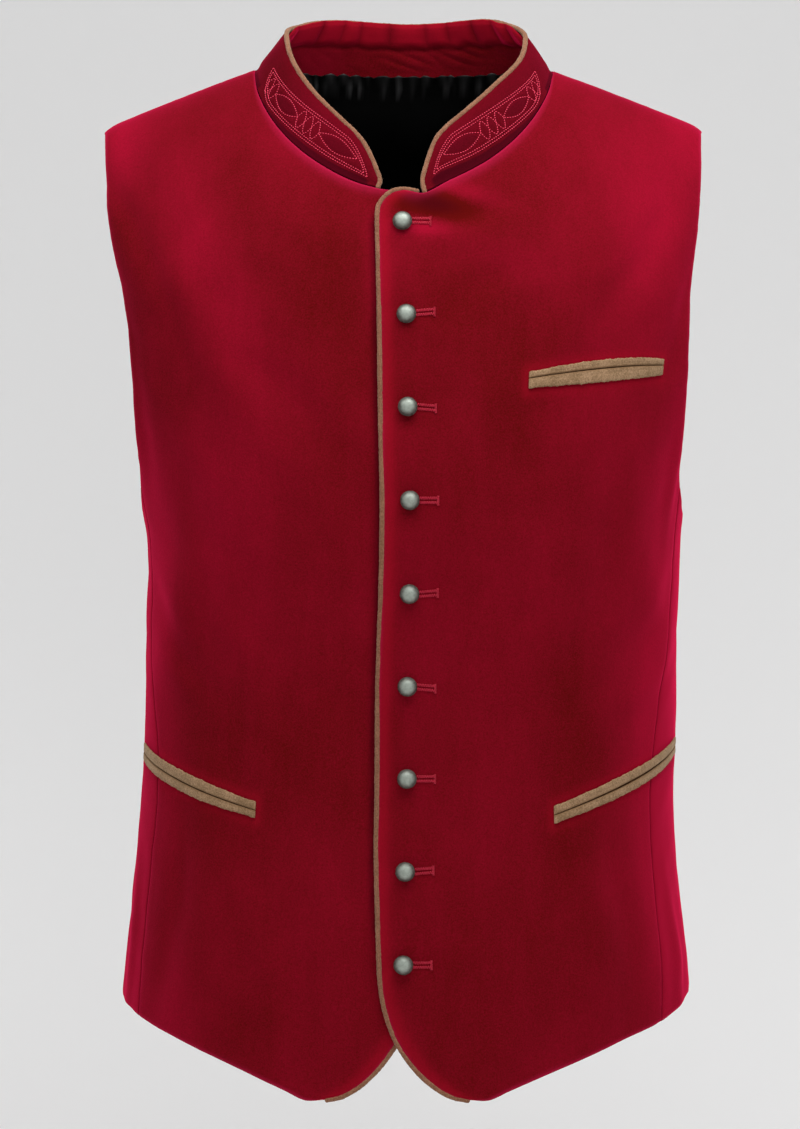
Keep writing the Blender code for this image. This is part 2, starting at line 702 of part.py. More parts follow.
def build_collar_band():
    """Inner band, gathered along its upper half."""
    base, way, rise, along = collar_lines()
    keep = np.flatnonzero(along >= BAND_START)
    fine = np.linspace(keep[0], keep[-1], BAND_PUCKERS * 4 + 1)
    index = np.arange(len(base))
    def stretched(values):
        return np.stack([np.interp(fine, index, values[:, k]) for k in range(3)], -1)
    share = np.linspace(0, 1, COLLAR_ROWS + 1)[None, :, None]
    height = np.interp(fine, index, collar_reach(rise, along))[:, None, None]
    grid = stretched(base)[:, None] + (COLLAR_FOOT + height * share) * stretched(way)[:, None]
    normal = collar_normals(grid)
    wave = 0.5 - 0.5 * np.cos(np.linspace(0, BAND_PUCKERS * 2 * math.pi, len(fine)))
    pucker = wave[:, None] * ease(share[..., 0], 0.25, 0.8) * PUCKER_DEPTH
    inset = (COLLAR_WALL + BAND_WALL) / 2 + BAND_GAP
    grid = grid - (inset + pucker[..., None]) * normal
    panel("collar_band", grid, normal, VELVET_INSIDE, BAND_WALL)


def build_collar_cord():
    base, way, rise, along = collar_lines()
    top = base + rise[:, None] * way
    path = np.concatenate([base[:1] + COLLAR_FOOT * way[:1], top,
                           base[-1:] + COLLAR_FOOT * way[-1:]])
    cord("cord_collar", path, SUEDE)


def build_lining():
    """Back lining, inside the back panel."""
    places = back_places()
    grid = torso(places[..., 0], places[..., 1])
    normal = outward(places[..., 0], places[..., 1])
    for edge in ("start", "end", "top", "bottom"):
        pull_in(grid, edge, LINING_MARGIN)
    panel("lining_back", grid, normal, SATIN, LINING_WALL, -(WALL + LINING_WALL) / 2 - LINING_GAP)


def build_welts(name):
    """Upper and lower lip of a pocket, lying on the cloth."""
    pocket = dict(zip(POCKET_COLUMNS, POCKETS[name]))
    share = stations(WELT_COLUMNS, True)
    degrees = pocket["inner_angle"] + (pocket["outer_angle"] - pocket["inner_angle"]) * share
    slit = pocket["inner_height"] + (pocket["outer_height"] - pocket["inner_height"]) * share
    slit = slit + pocket["bow"] * 4 * share * (1 - share)
    for lip, low, high in (("upper", WELT_SLIT / 2, pocket["upper"]),
                           ("lower", -pocket["lower"], -WELT_SLIT / 2)):
        height = slit[:, None] + np.linspace(low, high, 2)[None]
        places = at_angle(degrees[:, None] + 0 * height, height)
        grid = torso(places[..., 0], places[..., 1])
        panel(name + "_" + lip, grid, outward(places[..., 0], places[..., 1]), SUEDE,
              WELT_WALL, (WALL + WELT_WALL) / 2 + TRIM_LIFT)


def build_button(number):
    """Domed button with a flat back, turned about the normal of the cloth."""
    height = np.array([BUTTON_TOP - number * BUTTON_SPACING])
    places = locate(centre_front(height), height)
    normal = outward(places[:, 0], places[:, 1])[0]
    foot = front_cloth(1, places)[0] + (WALL / 2 + TRIM_LIFT) * normal
    side = np.cross((0.0, 0.0, 1.0), normal)
    side /= np.linalg.norm(side)
    up = np.cross(normal, side)
    turn = np.arange(BUTTON_SIDES) * 2 * math.pi / BUTTON_SIDES
    points = []
    for radius, rise in BUTTON_PROFILE:
        circle = np.cos(turn)[:, None] * side + np.sin(turn)[:, None] * up
        points.append(foot + BUTTON_RADIUS * (radius * circle + rise * normal))
    points.append((foot + BUTTON_RADIUS * BUTTON_CROWN * normal)[None])
    points = np.concatenate(points)
    faces = [tuple(reversed(range(BUTTON_SIDES)))]
    last = (len(BUTTON_PROFILE) - 1) * BUTTON_SIDES
    for k in range(BUTTON_SIDES):
        m = (k + 1) % BUTTON_SIDES
        for low in range(0, last, BUTTON_SIDES):
            high = low + BUTTON_SIDES
            faces.append((low + k, low + m, high + m, high + k))
        faces.append((last + k, last + m, len(points) - 1))
    make_object("button_" + str(number + 1), points, faces, PEWTER)


def clear_scene():
    for item in list(bpy.data.objects):
        bpy.data.objects.remove(item, do_unlink=True)


def main():
    clear_scene()
    for side, name in ((1, "left"), (-1, "right")):
        build_front(side, "front_" + name)
        build_side(side, "side_" + name)
        build_back(side, "back_" + name)
        build_front_cord(side, "cord_front_" + name)
    build_lining()
    build_collar()
    build_collar_band()
    build_collar_cord()
    for name in POCKETS:
        build_welts(name)
    for number in range(BUTTONS):
        build_button(number)


main()
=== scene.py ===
import math

import bpy
import numpy as np
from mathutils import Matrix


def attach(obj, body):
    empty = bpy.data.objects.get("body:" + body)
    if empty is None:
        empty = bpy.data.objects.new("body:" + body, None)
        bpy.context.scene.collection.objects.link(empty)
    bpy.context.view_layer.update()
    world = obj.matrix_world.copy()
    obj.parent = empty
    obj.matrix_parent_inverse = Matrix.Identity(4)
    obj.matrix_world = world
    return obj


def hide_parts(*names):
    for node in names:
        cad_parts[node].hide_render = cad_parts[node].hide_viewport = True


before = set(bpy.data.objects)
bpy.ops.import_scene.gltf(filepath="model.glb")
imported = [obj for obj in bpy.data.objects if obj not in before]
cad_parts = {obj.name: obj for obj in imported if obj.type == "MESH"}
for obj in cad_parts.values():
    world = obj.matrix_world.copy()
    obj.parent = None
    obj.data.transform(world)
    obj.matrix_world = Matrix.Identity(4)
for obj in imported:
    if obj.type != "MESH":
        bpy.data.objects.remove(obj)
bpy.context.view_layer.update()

print("frame loaded,", len(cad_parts), "solids")

cloth = {
    "wall": 0.0020,  # velvet with its interlining
    "seamGap": 0.00014,  # air between two pieces at a seam
    "trimLift": 0.0004,  # air between a panel and what is sewn on it
    "fine": 8,  # grid cells for each cell of the cutting lines
    "edgeLines": [0.0, 0.05, 0.16, 0.36, 0.66],  # close grid lines beside an edge, in cells
    "edgeRound": 0.0007,  # the wall is rounded off over this distance from an edge
}


def easeStep(x, start, end):
    # 0 before start, 1 after end, 3t^2 - 2t^3 between
    t = np.clip((x - start) / (end - start), 0, 1)
    return t * t * (3 - 2 * t)


def bell(x, width):
    # 1 in the middle, falling away as exp(-(x / width)^2)
    return np.exp(-(x / width) ** 2)


def signedPower(x, exponent):
    # |x| to the exponent, with the sign of x
    return np.sign(x) * np.abs(x) ** exponent


def smoothCurve(x, knots, values):
    # cubic Hermite curve through the knots, with the mean slope of the two neighbours
    knots, values = np.asarray(knots, float), np.asarray(values, float)
    x = np.clip(x, knots[0], knots[-1])
    slope = np.gradient(values, knots)
    i = np.clip(np.searchsorted(knots, x) - 1, 0, len(knots) - 2)
    step = knots[i + 1] - knots[i]
    t = (x - knots[i]) / step
    return ((1 + 2 * t) * (1 - t) ** 2 * values[i] + t * (1 - t) ** 2 * step * slope[i]
            + t ** 2 * (3 - 2 * t) * values[i + 1] - t ** 2 * (1 - t) * step * slope[i + 1])


unevenness = {"waves": 9, "slowest": 0.6, "fastest": 1.7, "peak": 1.4}  # waves in each unit of length


def softNoise(x, y, seed):
    # sum of seeded sine waves in all directions, scaled to about -1 to 1
    waves = unevenness["waves"]
    rng = np.random.default_rng(seed)
    heading = rng.uniform(0, 2 * math.pi, waves)
    pace = 2 * math.pi * rng.uniform(unevenness["slowest"], unevenness["fastest"], waves)
    start = rng.uniform(0, 2 * math.pi, waves)
    total = 0
    for k in range(waves):
        total = total + np.sin(pace[k] * (x * np.cos(heading[k]) + y * np.sin(heading[k])) + start[k])
    return total / math.sqrt(waves) / unevenness["peak"]


def unit(vectors):
    # each vector divided by its length
    return vectors / np.maximum(np.linalg.norm(vectors, axis=-1, keepdims=True), 1e-9)


def runAlong(path):
    # length of the path up to each of its points
    return np.concatenate([[0], np.cumsum(np.linalg.norm(np.diff(path, axis=0), axis=1))])


def readAlong(want, length, values):
    # straight interpolation of points or vectors at the wanted lengths
    return np.stack([np.interp(want, length, values[:, k]) for k in range(3)], -1)


# the hollow form that the worn garment keeps: rings, and a roll over the shoulders
bodyForm = {
    "squareness": 2.3, "rollPower": 1.8, "rollHeight": 0.130, "rollLength": 0.190,
    "ridgeTop": 0.0213, "ridgeSlope": 0.42, "ridgeRound": 0.060, "shoulderReach": 0.2085,
    "normalStep": 0.002,  # radians and metres
    "height": [-.690, -.610, -.580, -.540, -.475, -.410, -.345, -.305, -.266, -.214, -.150,
               -.084, -.040, 0, .060],
    "centre": [.0015, .0015, .0015, .0010, .0020, .0045, .0055, .0060, .0049, .0044, .0022,
               .0006, -.0006, -.0015, -.0015],
    "halfWidth": [.1840, .1833, .1815, .1772, .1723, .1712, .1713, .1720, .1785, .1912, .2018,
                  .2076, .2085, .2085, .2085],
    "front": [.120, .120, .120, .119, .117, .117, .121, .124, .124, .119, .109, .094, .083,
              .074, .062],
    "back": [.111, .111, .110, .107, .101, .099, .105, .111, .115, .117, .115, .111, .108,
             .104, .100],
    # the shoulder's end is rounded off by the drop
    "tipDrop": 0.0034, "tipFrom": 0.1840, "tipTo": 0.1950, "tipFade": 0.030,
    # large folds: angle, height, spread in degrees, spread in height, slant in degrees for each
    # millimetre of height, depth
    "folds": [(-60, -.170, 9, .050, -.10, -.0022), (58, -.185, 9, .045, .10, -.0018),
              (-57, -.345, 10, .060, .20, .0020), (60, -.335, 9, .055, -.20, .0018),
              (-24, -.170, 9, .060, .25, .0014), (-40, -.560, 8, .070, 0, .0018),
              (38, -.570, 8, .065, 0, .0020), (0, -.420, 14, .070, 0, -.0016),
              (150, -.300, 9, .110, 0, -.0022), (-152, -.320, 9, .100, 0, -.0020)],
}

# soft creases in their own sizes: angle, height, half length, half width, tilt, depth
creases = {
    "metresADegree": 0.0031,
    "rows": [(-66, -.150, .060, .0130, 16, -.0016), (-52, -.118, .052, .0100, 34, -.0011),
             (-37, -.172, .074, .0170, 28, .0013), (-18, -.222, .060, .0130, 38, -.0008),
             (-70, -.232, .036, .0090, -8, .0009), (-47, -.300, .066, .0160, 14, -.0009),
             (-66, -.352, .048, .0120, 58, -.0010), (-60, -.392, .040, .0090, 70, .0007),
             (-30, -.420, .090, .0150, 8, .0007), (-52, -.545, .062, .0140, -8, -.0010),
             (-24, -.590, .052, .0120, 12, .0008), (-76, -.560, .046, .0090, 4, .0009),
             (64, -.142, .056, .0120, -14, -.0014), (46, -.125, .050, .0110, -36, -.0010),
             (30, -.160, .066, .0160, -24, .0011), (70, -.262, .034, .0085, 6, .0009),
             (44, -.312, .070, .0150, -10, -.0008), (64, -.360, .044, .0110, -60, -.0010),
             (58, -.404, .038, .0090, -72, .0007), (28, -.395, .080, .0140, -6, .0006),
             (50, -.552, .058, .0130, 8, -.0009), (22, -.600, .050, .0120, -14, .0008),
             (74, -.575, .044, .0090, -3, .0008), (9, -.098, .024, .0075, -74, -.0010),
             (13, -.140, .028, .0090, -52, -.0006),
             (118, -.340, .052, .0110, 52, -.0012), (-120, -.352, .056, .0115, -54, -.0012),
             (134, -.372, .044, .0095, 66, .0009), (-136, -.382, .046, .0095, -68, .0009),
             (158, -.220, .080, .0170, 12, -.0011), (-160, -.205, .076, .0160, -14, -.0011),
             (176, -.418, .060, .0130, 82, -.0010), (-170, -.452, .056, .0115, -84, .0009),
             (140, -.520, .074, .0150, -8, .0012), (-143, -.512, .078, .0150, 6, .0012),
             (166, -.560, .060, .0140, 10, -.0009), (-150, -.105, .050, .0120, 40, -.0010),
             (146, -.100, .052, .0120, -42, -.0010), (112, -.215, .048, .0110, -10, -.0010),
             (-114, -.225, .046, .0105, 12, -.0010)],
    "depth": 1.7,  # scales every depth in the rows
    "topFade": 0.05,  # from the shoulder down
    "bow": 3.0,  # bend of each line, times the square of the way along it
    # lower ridges beside the trough: offset and spread as shares of the half width, share of depth
    "ridges": [(1.9, 1.3, 0.42), (-1.9, 1.2, 0.28)],
    # broad and close unevenness: rounds sideways, rounds to the back, height of a wave, shift, seed
    "broad": (2.4, 1.4, 0.085, 0, 11), "close": (5.6, 3.2, 0.034, 3, 12),
    "undulation": 0.00060, "closeShare": 0.35,
}


def ringSize(height, name):
    return smoothCurve(height, bodyForm["height"], bodyForm[name])


def ridgeHeight(x):
    # top less slope times (root of x^2 + round^2, less round)
    form = bodyForm
    return form["ridgeTop"] + form["ridgeSlope"] * (form["ridgeRound"] - np.hypot(x, form["ridgeRound"]))


def largeFolds(angle, height):
    # each fold is its depth times a bell in angle, slanted with height, times a bell in height
    shift = np.zeros(np.broadcast(angle, height).shape)
    for at, level, spread, tall, slant, depth in bodyForm["folds"]:
        across = np.degrees(angle) - at - slant * (height - level) * 1000
        shift = shift + depth * bell(across, spread) * bell(height - level, tall)
    return shift


def tiltedLine(angle, height, at, level, tilt):
    # how far each point is along and beside a line through this place, turned by the tilt
    across = ((np.degrees(angle) - at + 180) % 360 - 180) * creases["metresADegree"]
    up = height - level
    turn = math.radians(tilt)
    return up * math.cos(turn) - across * math.sin(turn), across * math.cos(turn) + up * math.sin(turn)


def smallCreases(angle, height):
    # a trough with a lower ridge on each side, along a tilted line, plus broad unevenness
    shift = np.zeros(np.broadcast(angle, height).shape)
    for at, level, long, wide, tilt, depth in creases["rows"]:
        along, beside = tiltedLine(angle, height, at, level, tilt)
        beside = beside + creases["bow"] * along ** 2
        trough = bell(beside, wide)
        for offset, spread, share in creases["ridges"]:
            trough = trough - share * bell(beside - offset * wide, spread * wide)
        shift = shift + creases["depth"] * depth * trough * bell(along, long)
    def waves(sideways, behind, tall, start, seed):
        return softNoise(np.sin(angle) * sideways + start, np.cos(angle) * behind + height / tall, seed)
    level = waves(*creases["broad"]) + creases["closeShare"] * waves(*creases["close"])
    return shift + creases["undulation"] * level


napLightShadeTable = [
    # soft areas where the pile is brushed up or down, with painted light on the shoulders and sides and
    # painted shade in hollows such as the one by the top button: angle, height, half length and half width in
    # metres, tilt, strength
    (-34, -.135, .085, .026, 24, .34), (-62, -.165, .060, .020, 4, -.42),
    (-50, -.215, .060, .030, -14, -.16), (-20, -.290, .120, .030, 6, -.10),
    (-66, -.330, .085, .026, 0, .34), (-44, -.330, .090, .024, 4, .16),
    (-58, -.480, .060, .018, 6, .24), (-26, -.470, .110, .030, -4, -.14),
    (-52, -.590, .050, .020, 0, .16), (2.8, -.0890, .013, .0080, 78, -.85),
    (6.2, -.0935, .014, .008, 70, -.46), (9, -.0835, .020, .006, 72, .50),
    (25, -.124, .045, .030, -20, .26), (2.6, -.1065, .012, .0050, 84, .60),
    (13, -.122, .034, .013, 66, .26), (-72, -.330, .330, .040, 0, .22),
    (72, -.330, .330, .040, 0, .34), (-3, -.128, .030, .008, 0, .30),
    (-59, -.048, .034, .026, 0, .66), (60, -.050, .034, .026, 0, .10),
    (50, -.110, .070, .034, -18, .30), (36, -.190, .080, .024, -20, .16),
    (30, -.300, .120, .034, 0, -.08), (66, -.250, .080, .020, 0, .22),
    (60, -.420, .100, .022, 2, .22), (34, -.450, .090, .030, 4, -.12),
    (62, -.560, .060, .022, 0, .20), (30, -.570, .070, .030, 0, -.14),
    (0, -.350, .240, .020, 0, -.06), (118, -.300, .120, .036, 10, .20),
    (150, -.200, .110, .040, -12, -.18), (172, -.330, .120, .040, 6, .18),
    (-120, -.320, .120, .036, -8, .20), (-150, -.230, .110, .040, 14, -.16),
    (-170, -.480, .110, .044, -4, -.14), (140, -.500, .090, .036, 0, .18),
    (-136, -.520, .090, .036, 4, .16), (104, -.500, .090, .024, 0, .14),
    (-104, -.490, .090, .024, 0, .14),
]


def napLightShadeAreas(angle, height):
    # each area is its strength times a bell along its line and a bell beside it
    napLightShade = np.zeros(np.broadcast(angle, height).shape)
    for at, level, long, wide, tilt, strength in napLightShadeTable:
        along, beside = tiltedLine(angle, height, at, level, tilt)
        napLightShade = napLightShade + strength * bell(along, long) * bell(beside, wide)
    return napLightShade


def bodySurface(angle, drop):
    # superellipse rings; over the shoulder the cloth rolls on a quarter of a superellipse
    angle, drop = np.broadcast_arrays(angle, drop)
    form = bodyForm
    across = signedPower(np.sin(angle), 2 / form["squareness"])
    along = -signedPower(np.cos(angle), 2 / form["squareness"])
    roll = np.clip(drop / form["rollLength"], 0, 1) * math.pi / 2
    fall = form["rollHeight"] * (1 - np.cos(roll) ** (2 / form["rollPower"]))
    fall = fall + np.maximum(drop - form["rollLength"], 0)
    bulge = np.sin(roll) ** (2 / form["rollPower"])
    height = ridgeHeight(across * form["shoulderReach"]) - fall
    depth = np.where(along < 0, ringSize(height, "front"), ringSize(height, "back"))
    shift = largeFolds(angle, height) * bulge
    x = ringSize(height, "centre") + ringSize(height, "halfWidth") * across + shift * np.sin(angle)
    y = depth * along * bulge - shift * np.cos(angle)
    tip = np.clip((np.abs(x) - form["tipFrom"]) / (form["tipTo"] - form["tipFrom"]), 0, 1) ** 2
    height = height - form["tipDrop"] * tip * (1 - easeStep(drop, 0, form["tipFade"]))
    return np.stack([x, y, height], -1)


def outwardNormal(places):
    # across two short steps on the surface, one round it and one down it
    angle, drop = places[..., 0], places[..., 1]
    step = bodyForm["normalStep"]
    turn = bodySurface(angle + step, drop) - bodySurface(angle - step, drop)
    down = bodySurface(angle, drop + step) - bodySurface(angle, np.maximum(drop - step, 0))
    return unit(np.cross(down, turn))


def surfaceAt(places):
    return bodySurface(places[..., 0], places[..., 1])


def dropAt(across, height):
    # length of cloth from the ridge to this height: the roll undone, then straight down
    fall = np.maximum(ridgeHeight(across * bodyForm["shoulderReach"]) - height, 0)
    rest = np.clip(1 - fall / bodyForm["rollHeight"], 0, 1)
    roll = np.arccos(rest ** (bodyForm["rollPower"] / 2))
    return bodyForm["rollLength"] * roll * 2 / math.pi + np.maximum(fall - bodyForm["rollHeight"], 0)


def placeSeenAt(x, height, back=False):
    # angle and drop of the point at x and this height
    across = np.clip((x - ringSize(height, "centre")) / ringSize(height, "halfWidth"), -1, 1)
    angle = np.arcsin(signedPower(across, bodyForm["squareness"] / 2))
    if back:
        angle = np.where(angle < 0, -math.pi - angle, math.pi - angle)
    return np.stack([angle, dropAt(across, height)], -1)


def placeAtAngle(degrees, height):
    angle = np.radians(degrees) + 0 * height
    across = signedPower(np.sin(angle), 2 / bodyForm["squareness"])
    return np.stack([angle, dropAt(across, height)], -1)


# cutting lines; side 1 is the wearer's left, side -1 the wearer's right
cut = {
    "neckHalf": 0.0970, "neckDrop": 0.0810, "neckPower": {1: 1.735, -1: 1.763}, "backNeck": -0.0030,
    "neckDip": {1: 0.0050, -1: 0.0}, "neckDipFade": 0.0150,  # extra drop at the collar's end
    "collarStart": 0.0150, "tipReach": 0.1935,
    "armBottom": -0.288, "armCentre": 91.0, "armSpread": 26.0, "armTipSpread": 24.0,
    "armBias": 1.15,  # the armhole's points crowd together above the seam
    "cutStart": -0.572, "cutReach": {1: 0.0626, -1: 0.0590}, "cutPower": 1.75, "pointHeight": -0.6630,
    "cornerWidth": 0.0160, "cornerHeight": 0.0160,
    "hemCentre": {1: -0.6866, -1: -0.6915}, "hemSide": -0.6077, "hemRise": {1: 0.0150, -1: 0.0095},
    "hemBack": -0.5920, "sideSeam": 104.0, "hemRiseFrom": 56, "hemLevelFrom": 150,  # degrees
    "overlapLift": 0.0020, "overlapFlat": 0.0230, "overlapEnd": 0.0600,
    # points of the closing edge: cutaway, lower run, upper run, corner; where the two runs meet
    "closingPoints": (8, 7, 8, 3), "runsMeet": 0.045, "cornerGap": 0.0010,
    # line of the buttons, and from it to the corded edge
    "lineHeight": [-.665, -.626, -.575, -.520, -.460, -.400, -.340, -.280, -.220, -.160, -.098],
    "lineMiddle": [-.0038, -.0024, .0022, .0032, .0043, .0046, .0061, .0064, .0049, .0038, .0008],
    "lineOverhang": [.0155, .0157, .0158, .0184, .0191, .0190, .0183, .0177, .0175, .0173, .0158],
    # angle of the seam between front and side
    "seamTop": 0.02,  # above the armhole's bottom
    "seamHeight": [-.620, -.575, -.530, -.500, -.467, -.435, -.405, -.370, -.338, -.300, -.260],
    "seamAngle": {1: [61.8, 63.4, 64.5, 64.1, 63.6, 65, 68.2, 71.4, 75.2, 77.5, 78],
                  -1: [67.1, 67.2, 67.2, 66.9, 66.3, 67.8, 71.8, 75.4, 77.1, 77.5, 77.8]},
    "hemRows": 12, "armRows": 13, "neckColumns": 8, "shoulderColumns": 4, "sideColumns": 4,
    "backNeckColumns": 8, "edgeFade": 2.5,
}


def lineOf(height, name):
    return smoothCurve(height, cut["lineHeight"], cut[name])


def frontCloth(side, places):
    # each front leaves the common surface by the overlap's lift near the closing
    points = surfaceAt(places)
    reach = side * (points[..., 0] - lineOf(points[..., 2], "lineMiddle"))
    lift = side * cut["overlapLift"] * (1 - easeStep(reach, cut["overlapFlat"], cut["overlapEnd"]))
    return points + lift[..., None] * outwardNormal(places)


def armholeLine(share, side, back=False):
    # half an ellipse up to half the height, then narrowing with the square of the share
    height = armHeight(share)
    low = np.sqrt(np.maximum(1 - (1 - 2 * np.minimum(share, 0.5)) ** 2, 0))
    high = (cut["armSpread"] - cut["armTipSpread"]) * np.maximum(2 * share - 1, 0) ** 2
    spread = cut["armSpread"] * low - high
    places = placeAtAngle(side * (cut["armCentre"] + (spread if back else -spread)), height)
    places[share == 1, 1] = 0
    return places


def armShare(spread):
    # share of the armhole's height at this many degrees from its centre, on its lower half
    return (1 - math.sqrt(1 - (spread / cut["armSpread"]) ** 2)) / 2


def frontSeamAngle(side, height):
    return smoothCurve(height, cut["seamHeight"], cut["seamAngle"][side])


def hemHeight(side, degrees):
    # a straight fall to the point in front, rising a little round the side, level behind
    degrees = np.abs(degrees)
    across = signedPower(np.sin(np.radians(degrees)), 2 / bodyForm["squareness"])
    front = cut["hemCentre"][side] + (cut["hemSide"] - cut["hemCentre"][side]) * across
    rise = cut["hemRise"][side]
    behind = cut["hemSide"] + rise
    back = behind + (cut["hemBack"] - behind) * easeStep(degrees, cut["sideSeam"], cut["hemLevelFrom"])
    hem = np.where(degrees < 90, front, back - rise)
    return hem + rise * easeStep(degrees, cut["hemRiseFrom"], cut["sideSeam"])


def armHeight(share):
    # height of the armhole's line, from its bottom to the shoulder's tip
    return cut["armBottom"] + (ridgeHeight(cut["tipReach"]) - cut["armBottom"]) * share


def seamLine(side, name):
    # from the hem up to the armhole: the front seam bends, the side seam stays at one angle
    def angleAt(height):
        return cut["sideSeam"] + 0 * height if name == "back" else frontSeamAngle(side, height)
    topAngle = angleAt(cut["armBottom"] + cut["seamTop"])
    topShare = armShare(abs(topAngle - cut["armCentre"]))
    top = armHeight(topShare)
    foot = hemHeight(side, angleAt(cut["hemSide"]))
    height = foot + (top - foot) * np.linspace(0, 1, cut["hemRows"] + 1)
    angle = angleAt(height)
    angle[-1] = topAngle
    return placeAtAngle(side * angle, height), topShare


def outerEdge(side, name):
    # the seam, then the armhole up to the shoulder tip
    seam, share = seamLine(side, name)
    rest = share + (1 - share) * np.linspace(0, 1, cut["armRows"] + 1)[1:] ** cut["armBias"]
    return np.concatenate([seam, armholeLine(rest, side, name == "back")])


def shoulderLine(side, back=False):
    share = np.linspace(0, 1, cut["shoulderColumns"] + 1)[1:]
    x = side * (cut["neckHalf"] + (cut["tipReach"] - cut["neckHalf"]) * share)
    places = placeSeenAt(x, ridgeHeight(x), back)
    places[:, 1] = 0
    return places


def neckLine(side, count):
    # quarter of a superellipse from the collar's end to the neck point
    bend = 2 / cut["neckPower"][side]
    turn = np.linspace(math.acos((cut["collarStart"] / cut["neckHalf"]) ** (1 / bend)), 0, count + 1)
    x = side * cut["neckHalf"] * np.cos(turn) ** bend
    dip = cut["neckDip"][side] * np.exp((cut["collarStart"] - np.abs(x)) / cut["neckDipFade"])
    places = placeSeenAt(x, -cut["neckDrop"] * np.sin(turn) ** bend - dip)
    places[-1, 1] = 0
    return places


def backNeckLine(side, count):
    turn = np.linspace(0, math.pi / 2, count + 1)
    x = side * cut["neckHalf"] * np.cos(turn)
    places = placeSeenAt(x, cut["backNeck"] * np.sin(turn), True)
    places[0, 1] = 0
    places[-1, 0] = side * math.pi
    return places


def closingEdge(side):
    # the cutaway curve, the straight run beside the buttons, and the rounded top corner
    cutCount, lowCount, highCount, cornerCount = cut["closingPoints"]
    lower = cut["armBottom"] - cut["runsMeet"]
    turn = np.linspace(0, math.pi / 2, cutCount)
    bend = 2 / cut["cutPower"]
    cutReach = cut["cutReach"][side] * (1 - np.sin(turn) ** bend)
    cutHeight = cut["cutStart"] + (cut["pointHeight"] - cut["cutStart"]) * np.cos(turn) ** bend
    low = np.linspace(cut["cutStart"], lower, lowCount + 1)[1:]
    top = -cut["neckDrop"] - cut["cornerGap"] - cut["cornerHeight"]
    high = np.linspace(lower, top, highCount + 1)[1:]
    cornerTurn = np.linspace(0, math.pi / 2, cornerCount + 1)[1:]
    height = np.concatenate([cutHeight, low, high, top + cut["cornerHeight"] * np.sin(cornerTurn)])
    reach = np.concatenate([cutReach, 0 * low, 0 * high, cut["cornerWidth"] * (1 - np.cos(cornerTurn))])
    reach = reach - lineOf(height, "lineOverhang")
    return placeSeenAt(lineOf(height, "lineMiddle") + side * reach, height)


def refine(nodes, corners=(), fine=None):
    # smooth curve through the nodes of a cutting line, broken at its corners
    fine = fine or cloth["fine"]
    stops = [0, *corners, len(nodes) - 1]
    parts = []
    for first, last in zip(stops[:-1], stops[1:]):
        run = nodes[first:last + 1]
        at = np.linspace(0, last - first, (last - first) * fine + 1)
        knots = np.arange(len(run))
        part = np.stack([smoothCurve(at, knots, run[:, k]) for k in range(run.shape[1])], -1)
        parts.append(part if not parts else part[1:])
    return np.concatenate(parts)


def fillPatch(bottom, top, start, end):
    # straight between bottom and top, plus the bends of both side edges, fading inwards
    u = np.linspace(0, 1, len(bottom))[:, None, None]
    v = np.linspace(0, 1, len(start))[None, :, None]
    startBend = start[None] - (1 - v) * start[0] - v * start[-1]
    endBend = end[None] - (1 - v) * end[0] - v * end[-1]
    between = (1 - v) * bottom[:, None] + v * top[:, None]
    return between + (1 - u) ** cut["edgeFade"] * startBend + u ** cut["edgeFade"] * endBend


def frontPlaces(side):
    start, end = closingEdge(side), outerEdge(side, "front")
    neck = neckLine(side, cut["neckColumns"])
    top = np.concatenate([start[-1:], neck, shoulderLine(side)])
    degrees = np.degrees(np.linspace(start[0, 0], end[0, 0], len(top)))
    bottom = placeAtAngle(degrees, hemHeight(side, degrees))
    bottom[0], bottom[-1], top[-1] = start[0], end[0], end[-1]
    neckPoint = len(neck)
    return fillPatch(refine(bottom), refine(top, [neckPoint]), refine(start),
                     refine(end, [cut["hemRows"]]))


def sidePlaces(side):
    start, end = seamLine(side, "front")[0], seamLine(side, "back")[0]
    low, high = abs(np.degrees(start[-1, 0])), abs(np.degrees(end[-1, 0]))
    degrees = side * np.linspace(low, high, cut["sideColumns"] + 1)
    shares = np.array([armShare(value) for value in np.abs(np.abs(degrees) - cut["armCentre"])])
    top = placeAtAngle(degrees, armHeight(shares))
    degrees = np.degrees(np.linspace(start[0, 0], end[0, 0], cut["sideColumns"] + 1))
    bottom = placeAtAngle(degrees, hemHeight(side, degrees))
    return fillPatch(refine(bottom), refine(top), refine(start), refine(end))


def backPlaces():
    # from the wearer's right side seam round to the left one
    start, end = outerEdge(-1, "back"), outerEdge(1, "back")
    half = cut["backNeckColumns"] // 2
    top = np.concatenate([shoulderLine(-1, True)[::-1], backNeckLine(-1, half),
                          backNeckLine(1, half)[::-1][1:], shoulderLine(1, True)])
    start[:, 0] += 2 * math.pi
    top[top[:, 0] < 0, 0] += 2 * math.pi
    top[0], top[-1] = start[-1], end[-1]
    degrees = np.degrees(np.linspace(start[0, 0], end[0, 0], len(top)))
    height = np.where(degrees > 180, hemHeight(-1, 360 - degrees), hemHeight(1, degrees))
    neckPoint = cut["shoulderColumns"]
    return fillPatch(refine(placeAtAngle(degrees, height)),
                     refine(top, [neckPoint, len(top) - 1 - neckPoint]),
                     refine(start, [cut["hemRows"]]), refine(end, [cut["hemRows"]]))


